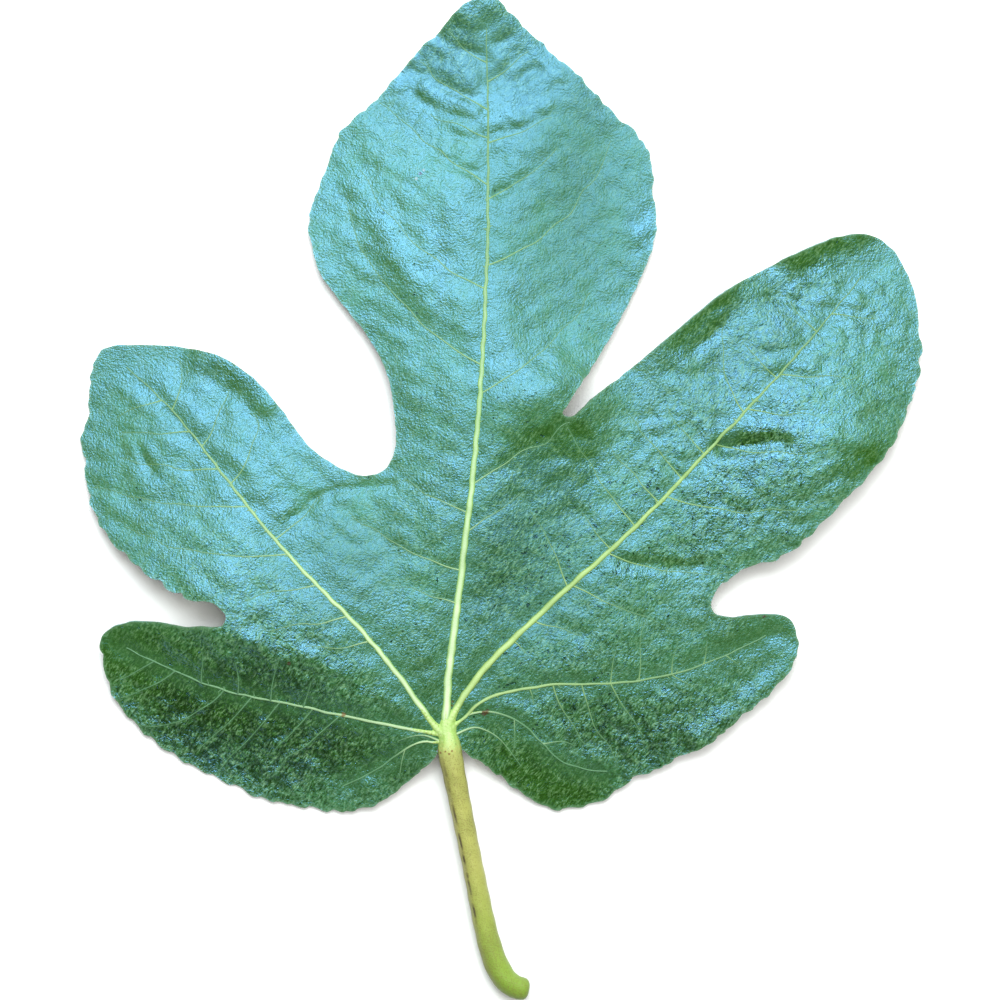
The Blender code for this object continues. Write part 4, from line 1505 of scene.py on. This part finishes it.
@dataclass(frozen=True)
class BladeFinish:
    """The waxy green of the blade's upper side."""

    hub: tuple[float, float]
    deep: Colour = (0.032, 0.112, 0.024)
    fresh: Colour = (0.052, 0.192, 0.042)
    pale: Colour = (0.1, 0.215, 0.07)
    # Painted shade: the dark olive for slopes that face away from the window.
    dark: Colour = (0.03, 0.104, 0.003)
    # Painted light in the grain: the first colour lights the tops of the bumped domes, the second shades their edges
    # and the cell net's furrows; both also make random pale and dark specks.
    dome_highlight_and_pale_speck: Colour = (0.22, 0.4, 0.175)
    hollow_shade_and_dark_speck: Colour = (0.008, 0.026, 0.002)
    vein: Colour = (0.08, 0.2, 0.07)
    edge: Colour = (0.12, 0.24, 0.1)
    pit: Colour = (0.008, 0.03, 0.004)
    rib_wash: Colour = (0.05, 0.15, 0.045)
    sheen: Colour = (0.228, 0.56, 1.0)
    roughness: tuple[float, float] = (0.4, 0.5)
    speck_roughness: tuple[float, float] = (-0.22, 0.06)
    matt_roughness: float = 0.24
    dark_roughness: float = 0.27
    pit_roughness: float = 0.25
    grain_depth: float = 0.09
    dark_grain: float = 0.6
    grit: float = 1.8
    pit_depth: float = 1.5
    specular: float = 1.0
    ior: float = 1.98

    @staticmethod
    def pits(tree: bpy.types.NodeTree, strewn: bpy.types.NodeSocket) -> bpy.types.NodeSocket:
        """Return a mask of small ragged dark pits, thickest where the blade is strewn with them."""
        place = node(tree, "ShaderNodeTexCoord")
        regions = node(tree, "ShaderNodeTexNoise")
        regions.inputs["Scale"].default_value = 60
        regions.inputs["Detail"].default_value = 3
        tree.links.new(place.outputs["Object"], regions.inputs["Vector"])
        drift = ranged(tree, regions.outputs["Fac"], 0.3, 0.7, -0.5, 0.5)
        share = summed(tree, drift, strewn)
        least = ranged(tree, share, 0.0, 1.2, 0.76, 0.62)
        spots = node(tree, "ShaderNodeTexNoise")
        spots.inputs["Scale"].default_value = 900
        spots.inputs["Detail"].default_value = 2
        tree.links.new(place.outputs["Object"], spots.inputs["Vector"])
        over = node(tree, "ShaderNodeMath", operation="SUBTRACT")
        tree.links.new(spots.outputs["Fac"], over.inputs[0])
        tree.links.new(least, over.inputs[1])
        return ranged(tree, over.outputs["Value"], 0.0, 0.04)

    def make(self) -> bpy.types.Material:
        """Return the material."""
        material, tree, shader = new_material("blade upper side")
        grain = grain_node(tree, 1.0)
        masks = {}
        for name in MASKS:
            made = node(tree, "ShaderNodeAttribute", attribute_name=name)
            masks[name] = made.outputs["Fac"]
        pits = self.pits(tree, masks["pitted"])
        colour = mixed(tree, ranged(tree, grain.outputs["Mottle"], 0.3, 0.7), self.deep, self.fresh)
        fleck = ranged(tree, grain.outputs["Fleck"], 0.38, 0.68, 0.0, 0.5)
        colour = mixed(tree, fleck, colour, self.pale)
        colour = mixed(tree, ranged(tree, grain.outputs["Net"], 0.0, 1.0, 0.0, 0.25), colour, self.pale)
        # Painted shade: darken the colour where the blade faces away from the window.
        colour = mixed(tree, ranged(tree, masks["dark"], 0.0, 1.0, 0.0, 0.9), colour, self.dark)
        cells = ranged(tree, masks["grit"], 0.8, 1.0, 0.1, 0.9)
        specks = ranged(tree, masks["grit"], 0.0, 0.7, 0.25, 1.0)
        # Painted highlight on the bumped domes, painted shade at their edges, and random pale and dark specks.
        for source, reach, low, high, tint in (("Leather", cells, 0.5, 1.0, self.dome_highlight_and_pale_speck),
                                               ("Leather", cells, 0.4, 0.0, self.hollow_shade_and_dark_speck),
                                               ("Speck", specks, 0.5, 0.74, self.dome_highlight_and_pale_speck),
                                               ("Speck", specks, 0.48, 0.3, self.hollow_shade_and_dark_speck)):
            share = node(tree, "ShaderNodeMath", operation="MULTIPLY")
            tree.links.new(ranged(tree, grain.outputs[source], low, high, 0.0, 0.9), share.inputs[0])
            tree.links.new(reach, share.inputs[1])
            colour = mixed(tree, share.outputs["Value"], colour, tint)
        # Painted shade in the furrows of the cell net.
        furrow = node(tree, "ShaderNodeMath", operation="MULTIPLY")
        tree.links.new(ranged(tree, masks["furrow"], 0.2, 1.0, 0.0, 0.75), furrow.inputs[0])
        tree.links.new(ranged(tree, masks["grit"], 0.3, 1.0, 0.0, 1.0), furrow.inputs[1])
        colour = mixed(tree, furrow.outputs["Value"], colour, self.hollow_shade_and_dark_speck)
        colour = mixed(tree, ranged(tree, masks["rib"], 0.0, 1.0, 0.0, 0.6), colour, self.rib_wash)
        colour = mixed(tree, ranged(tree, masks["vein"], 0.3, 1.0, 0.0, 0.35), colour, self.vein)
        colour = mixed(tree, ranged(tree, masks["edge"], 0.2, 1.0, 0.0, 0.8), colour, self.edge)
        colour = mixed(tree, ranged(tree, pits, 0.0, 1.0, 0.0, 0.9), colour, self.pit)
        colour = marked(tree, colour, grain, self.hub)
        tree.links.new(colour, shader.inputs["Base Color"])
        rough = ranged(tree, grain.outputs["Mottle"], 0.3, 0.7, *self.roughness)
        fine = node(tree, "ShaderNodeMath", operation="MULTIPLY")
        tree.links.new(ranged(tree, grain.outputs["Speck"], 0.35, 0.6, *self.speck_roughness), fine.inputs[0])
        tree.links.new(specks, fine.inputs[1])
        rough = summed(tree, rough, fine.outputs["Value"])
        for mask, value in ((masks["dark"], self.dark_roughness), (pits, self.pit_roughness)):
            made = node(tree, "ShaderNodeMix")
            tree.links.new(mask, made.inputs["Factor"])
            tree.links.new(rough, made.inputs["A"])
            made.inputs["B"].default_value = value
            rough = made.outputs["Result"]
        rough = summed(tree, rough, ranged(tree, masks["matt"], 0.0, 1.0, 0.0, self.matt_roughness))
        tree.links.new(rough, shader.inputs["Roughness"])
        shader.inputs["Specular IOR Level"].default_value = self.specular
        shader.inputs["Specular Tint"].default_value = (*self.sheen, 1)
        shader.inputs["IOR"].default_value = self.ior
        coarse = node(tree, "ShaderNodeMath", operation="MULTIPLY_ADD")
        tree.links.new(grain.outputs["Leather"], coarse.inputs[0])
        tree.links.new(ranged(tree, masks["grit"], 0.3, 1.0, 0.4, self.grit), coarse.inputs[1])
        tree.links.new(grain.outputs["Height"], coarse.inputs[2])
        sunk = node(tree, "ShaderNodeMath", operation="MULTIPLY_ADD")
        tree.links.new(pits, sunk.inputs[0])
        sunk.inputs[1].default_value = -self.pit_depth
        tree.links.new(coarse.outputs["Value"], sunk.inputs[2])
        calmed = node(tree, "ShaderNodeMath", operation="MULTIPLY")
        tree.links.new(sunk.outputs["Value"], calmed.inputs[0])
        tree.links.new(ranged(tree, masks["dark"], 0.4, 1.0, 1.0, self.dark_grain), calmed.inputs[1])
        bumped(tree, shader, calmed.outputs["Value"], self.grain_depth)
        return material


@dataclass(frozen=True)
class UndersideFinish:
    """The paler, matt green of the blade's underside."""

    pale: Colour = (0.1, 0.185, 0.077)
    dull: Colour = (0.069, 0.138, 0.058)
    net: Colour = (0.169, 0.262, 0.123)

    def make(self) -> bpy.types.Material:
        """Return the material."""
        material, tree, shader = new_material("blade underside")
        grain = grain_node(tree, 1.0)
        mottle = ranged(tree, grain.outputs["Mottle"], 0.3, 0.7)
        colour = mixed(tree, mottle, self.dull, self.pale)
        colour = mixed(tree, grain.outputs["Net"], colour, self.net)
        tree.links.new(colour, shader.inputs["Base Color"])
        rough = ranged(tree, grain.outputs["Mottle"], 0.3, 0.7, 0.65, 0.8)
        tree.links.new(rough, shader.inputs["Roughness"])
        bumped(tree, shader, grain.outputs["Height"], 0.08)
        return material


@dataclass(frozen=True)
class RibFinish:
    """The ribs' pale green, palest at the hub and close to the blade's own at their tips."""

    hub: tuple[float, float, float]
    near: Colour = (0.56, 0.69, 0.41)
    middle: Colour = (0.29, 0.45, 0.22)
    far: Colour = (0.09, 0.21, 0.1)
    flank: Colour = (0.22, 0.4, 0.1)
    reaches: tuple[float, float, float] = (4.0, 70.0, 150.0)

    def make(self, name: str) -> bpy.types.Material:
        """Return the material under a name."""
        material, tree, shader = new_material(name)
        place = node(tree, "ShaderNodeTexCoord")
        away = node(tree, "ShaderNodeVectorMath", operation="DISTANCE")
        away.inputs[1].default_value = self.hub
        tree.links.new(place.outputs["Object"], away.inputs[0])
        near, middle, far = (reach * MM for reach in self.reaches)
        first = ranged(tree, away.outputs["Value"], near, middle)
        second = ranged(tree, away.outputs["Value"], middle, far)
        colour = mixed(tree, first, self.near, self.middle)
        colour = mixed(tree, second, colour, self.far)
        side = node(tree, "ShaderNodeAttribute", attribute_name="side")
        # The flanks turn greener: partly the rib's own greener edges, partly painted shade on its sloping sides.
        colour = mixed(tree, ranged(tree, side.outputs["Fac"], 0.3, 0.85, 0.0, 0.95), colour, self.flank)
        fade = node(tree, "ShaderNodeAttribute", attribute_name="fade")
        colour = mixed(tree, fade.outputs["Fac"], colour, self.far)
        grain = grain_node(tree, 2.0)
        fleck = ranged(tree, grain.outputs["Mottle"], 0.35, 0.65, 0.0, 0.2)
        colour = mixed(tree, fleck, colour, self.far)
        colour = marked(tree, colour, grain, (self.hub[0] / MM, self.hub[1] / MM))
        tree.links.new(colour, shader.inputs["Base Color"])
        rough = ranged(tree, grain.outputs["Mottle"], 0.3, 0.7, 0.42, 0.55)
        tree.links.new(rough, shader.inputs["Roughness"])
        bumped(tree, shader, grain.outputs["Height"], 0.03)
        return material


@dataclass(frozen=True)
class HubFinish:
    """The knot's cream green, yellower towards the stalk, with a few brown specks."""

    hub: tuple[float, float]
    cream: Colour = (0.5, 0.66, 0.28)
    yellow: Colour = (0.385, 0.415, 0.115)
    green: Colour = (0.292, 0.462, 0.108)
    speck: Colour = (0.154, 0.092, 0.023)

    def make(self) -> bpy.types.Material:
        """Return the material."""
        material, tree, shader = new_material("hub cream green")
        place = node(tree, "ShaderNodeTexCoord")
        parts = node(tree, "ShaderNodeSeparateXYZ")
        tree.links.new(place.outputs["Object"], parts.inputs[0])
        grain = grain_node(tree, 2.0)
        mottle = ranged(tree, grain.outputs["Mottle"], 0.4, 0.68, 0.0, 0.5)
        colour = mixed(tree, mottle, self.cream, self.green)
        side = node(tree, "ShaderNodeAttribute", attribute_name="side")
        colour = mixed(tree, ranged(tree, side.outputs["Fac"], 0.15, 0.65, 0.0, 0.9), colour, self.green)
        ragged = ranged(tree, grain.outputs["Fleck"], 0.3, 0.7, -1.9 * MM, 1.9 * MM)
        level = summed(tree, parts.outputs["Y"], ragged)
        down = ranged(tree, level, (self.hub[1] - 0.2) * MM, (self.hub[1] - 3.4) * MM)
        colour = mixed(tree, down, colour, self.yellow)
        spots = ranged(tree, grain.outputs["Fleck"], 0.6, 0.66, 0.0, 0.6)
        colour = mixed(tree, spots, colour, self.speck)
        colour = marked(tree, colour, grain, self.hub)
        tree.links.new(colour, shader.inputs["Base Color"])
        rough = ranged(tree, grain.outputs["Mottle"], 0.3, 0.7, 0.42, 0.55)
        tree.links.new(rough, shader.inputs["Roughness"])
        bumped(tree, shader, grain.outputs["Height"], 0.05)
        return material


@dataclass(frozen=True)
class StalkFinish:
    """The stalk's olive skin: pale at the hub, greener at the foot, with fine brown flecks."""

    top_y: float
    foot_y: float
    join: Colour = (0.385, 0.423, 0.131)
    top: Colour = (0.385, 0.385, 0.1)
    middle: Colour = (0.354, 0.362, 0.092)
    foot: Colour = (0.2, 0.33, 0.035)
    speck: Colour = (0.17, 0.125, 0.03)
    scarred: Colour = (0.05, 0.03, 0.008)
    brown: Colour = (0.27, 0.23, 0.06)
    shade: Colour = (0.131, 0.154, 0.031)

    def make(self) -> bpy.types.Material:
        """Return the material."""
        material, tree, shader = new_material("stalk skin")
        place = node(tree, "ShaderNodeTexCoord")
        parts = node(tree, "ShaderNodeSeparateXYZ")
        tree.links.new(place.outputs["Object"], parts.inputs[0])
        down = parts.outputs["Y"]
        top, foot = self.top_y * MM, self.foot_y * MM
        colour = mixed(tree, ranged(tree, down, top + 0.002, top - 0.005), self.join, self.top)
        colour = mixed(tree, ranged(tree, down, top - 0.005, (top + foot) / 2), colour, self.middle)
        colour = mixed(tree, ranged(tree, down, (top + foot) / 2, foot), colour, self.foot)
        grain = grain_node(tree, 1.6)
        fleck = ranged(tree, grain.outputs["Mottle"], 0.4, 0.7, 0.0, 0.4)
        colour = mixed(tree, fleck, colour, self.shade)
        across = node(tree, "ShaderNodeAttribute", attribute_name="across")
        colour = mixed(tree, ranged(tree, across.outputs["Fac"], -0.35, -0.95, 0.0, 0.5), colour, self.brown)
        colour = mixed(tree, self.specks(tree, place, grain), colour, self.speck)
        colour = mixed(tree, self.scar(tree, parts), colour, self.scarred)
        tree.links.new(colour, shader.inputs["Base Color"])
        rough = ranged(tree, grain.outputs["Mottle"], 0.3, 0.7, 0.4, 0.56)
        tree.links.new(rough, shader.inputs["Roughness"])
        bumped(tree, shader, grain.outputs["Height"], 0.06)
        return material

    @staticmethod
    def specks(tree: bpy.types.NodeTree, place: bpy.types.Node,
               grain: bpy.types.Node) -> bpy.types.NodeSocket:
        """Return a mask of fine brown specks, thicker in some places than in others."""
        spots = node(tree, "ShaderNodeTexVoronoi")
        spots.inputs["Scale"].default_value = 3000
        tree.links.new(place.outputs["Object"], spots.inputs["Vector"])
        dots = ranged(tree, spots.outputs["Distance"], 0.2, 0.5, 0.6, 0.0)
        places = ranged(tree, grain.outputs["Mottle"], 0.25, 0.55, 0.2, 1.0)
        mask = node(tree, "ShaderNodeMath", operation="MULTIPLY")
        tree.links.new(dots, mask.inputs[0])
        tree.links.new(places, mask.inputs[1])
        return mask.outputs["Value"]

    def scar(self, tree: bpy.types.NodeTree, parts: bpy.types.Node) -> bpy.types.NodeSocket:
        """Return a mask of the thin broken brown line along the stalk's left side."""
        across = node(tree, "ShaderNodeAttribute", attribute_name="across")
        off = node(tree, "ShaderNodeMath", operation="ADD")
        tree.links.new(across.outputs["Fac"], off.inputs[0])
        off.inputs[1].default_value = 0.62
        away = node(tree, "ShaderNodeMath", operation="ABSOLUTE")
        tree.links.new(off.outputs["Value"], away.inputs[0])
        line = ranged(tree, away.outputs["Value"], 0.03, 0.15, 0.95, 0.0)
        start = ranged(tree, parts.outputs["Y"], self.top_y * MM, (self.top_y - 15) * MM, 0.3, 1.0)
        end = ranged(tree, parts.outputs["Y"], (self.top_y - 34) * MM, (self.top_y - 38) * MM, 1.0, 0.0)
        breaks = node(tree, "ShaderNodeTexNoise", noise_dimensions="1D")
        breaks.inputs["Scale"].default_value = 330
        breaks.inputs["Detail"].default_value = 4
        tree.links.new(parts.outputs["Y"], breaks.inputs["W"])
        gaps = ranged(tree, breaks.outputs["Fac"], 0.38, 0.58)
        for factor in (start, end, gaps):
            product = node(tree, "ShaderNodeMath", operation="MULTIPLY")
            tree.links.new(line, product.inputs[0])
            tree.links.new(factor, product.inputs[1])
            line = product.outputs["Value"]
        return line


@dataclass(frozen=True)
class FloorFinish:
    """A plain pale floor with the faintest mottling."""

    light: Colour = (0.86, 0.86, 0.85)
    dark: Colour = (0.84, 0.84, 0.83)

    def make(self) -> bpy.types.Material:
        """Return the material."""
        material, tree, shader = new_material("pale floor")
        place = node(tree, "ShaderNodeTexCoord")
        mottle = node(tree, "ShaderNodeTexNoise")
        mottle.inputs["Scale"].default_value = 3
        tree.links.new(place.outputs["Object"], mottle.inputs["Vector"])
        tree.links.new(mixed(tree, mottle.outputs["Fac"], self.light, self.dark), shader.inputs["Base Color"])
        shader.inputs["Roughness"].default_value = 0.9
        shader.inputs["Specular IOR Level"].default_value = 0.1
        return material


@dataclass
class Studio:
    """The pale floor, the soft lights and the camera over the leaf."""

    view_width: float = 0.210
    focal: float = 85.0
    sensor: float = 36.0
    centre: tuple[float, float] = (-0.00058, 0.00028)
    leaf_height: float = 0.004

    def floor(self) -> bpy.types.Object:
        """Lay the floor under the leaf."""
        deselect()
        bpy.ops.mesh.primitive_grid_add(x_subdivisions=8, y_subdivisions=8, size=3, location=(0, 0, 0))
        piece = bpy.context.object
        piece.name = "floor"
        piece.data.materials.append(FloorFinish().make())
        return piece

    def light(self, name: str, place: Colour, size: float, power: float,
              colour: Colour) -> bpy.types.Object:
        """Hang one soft square light that faces the leaf.

        Args:
            name: The light's name.
            place: Where it hangs, in metres.
            size: Its side, in metres.
            power: Its power, in watts.
            colour: Its colour.

        Returns:
            The light's object.
        """
        deselect()
        bpy.ops.object.light_add(type="AREA", location=place)
        lamp = bpy.context.object
        lamp.name = name
        lamp.data.size = size
        lamp.data.energy = power
        lamp.data.color = colour
        lamp.rotation_euler = Vector(place).to_track_quat("Z", "Y").to_euler()
        return lamp

    def lights(self) -> None:
        """Hang the cool window beyond the tip and a broad fill light high over the leaf, and give the world a faint
        light.
        """
        self.light("window", (-0.03, 0.3, 0.45), 0.34, 3.8, (0.88, 0.96, 1.0))
        fill = self.light("fill", (0.25, 0.2, 1.1), 1.2, 15.6, (1.0, 0.99, 0.96))
        fill.visible_glossy = False
        world = bpy.data.worlds.new("studio")
        world.use_nodes = True
        world.node_tree.nodes["Background"].inputs["Color"].default_value = (0.95, 0.98, 1, 1)
        world.node_tree.nodes["Background"].inputs["Strength"].default_value = 0.18
        world.cycles_visibility.glossy = False
        bpy.context.scene.world = world
        bpy.context.scene.view_settings.view_transform = "Standard"

    def camera(self) -> None:
        """Hang the camera straight over the leaf, looking down with the tip upwards."""
        distance = self.view_width * self.focal / self.sensor
        deselect()
        bpy.ops.object.camera_add(location=(*self.centre, distance + self.leaf_height), rotation=(0, 0, 0))
        camera = bpy.context.object
        camera.data.lens = self.focal
        camera.data.sensor_width = self.sensor
        camera.data.clip_start = 0.01
        bpy.context.scene.camera = camera


def ride_as(piece: bpy.types.Object, slot: str, *nodes: str) -> None:
    """Let a finished piece ride on the leaf's one body in place of some nodes."""
    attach(piece, "root")
    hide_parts(*nodes)
    LOG.info("%s: %d faces", piece.name, len(piece.data.polygons))


def main() -> None:
    """Build the leaf, dress it and light it."""
    logging.basicConfig(level=logging.INFO, format="%(name)s: %(message)s")
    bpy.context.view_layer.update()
    studio = Studio()
    studio.camera()
    studio.floor()
    studio.lights()
    thickness = 0.7
    form = BladeForm(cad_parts["leaf_blade"])
    hub = hub_place()
    ribs = [Rib(plan, hub) for plan in RIB_PLANS]
    rib_lines = [rib.line() for rib in ribs]
    vein_lines = [line for rib in ribs for line in rib.vein_lines() + rib.companion_lines()]
    relief = Relief(form, hub, rib_lines, vein_lines, thickness)
    blade = Blade(relief, form.outline, rib_lines + vein_lines, thickness, hub)
    ride_as(blade.build(BladeFinish(tuple(float(v) for v in hub)).make(), UndersideFinish().make()), "blade", "leaf_blade")
    hub_top = float(relief.top(hub[None])[0])
    middle = (hub[0] * MM, hub[1] * MM, hub_top * MM)
    finishes = {Tone.CREAM: RibFinish(middle).make("rib cream green"),
                Tone.YELLOW: RibFinish(middle, near=(0.39, 0.53, 0.2), middle=(0.26, 0.41, 0.14),
                                       flank=(0.2, 0.323, 0.077)).make("rib yellow green")}
    for rib in ribs:
        rib.relief = relief
        rib.border = blade.border
        ride_as(rib.build(finishes[rib.plan.tone]), "rib", rib.plan.name)
    stalk = Stalk(hub)
    ride_as(Hub(relief, hub, ribs, stalk).build(HubFinish((float(hub[0]), float(hub[1]))).make()), "hub", "vein_hub")
    ride_as(stalk.build(StalkFinish(hub[1] - 3, hub[1] - 52).make()), "stalk", "leaf_stalk")
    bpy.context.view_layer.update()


if __name__ == "__main__":
    main()
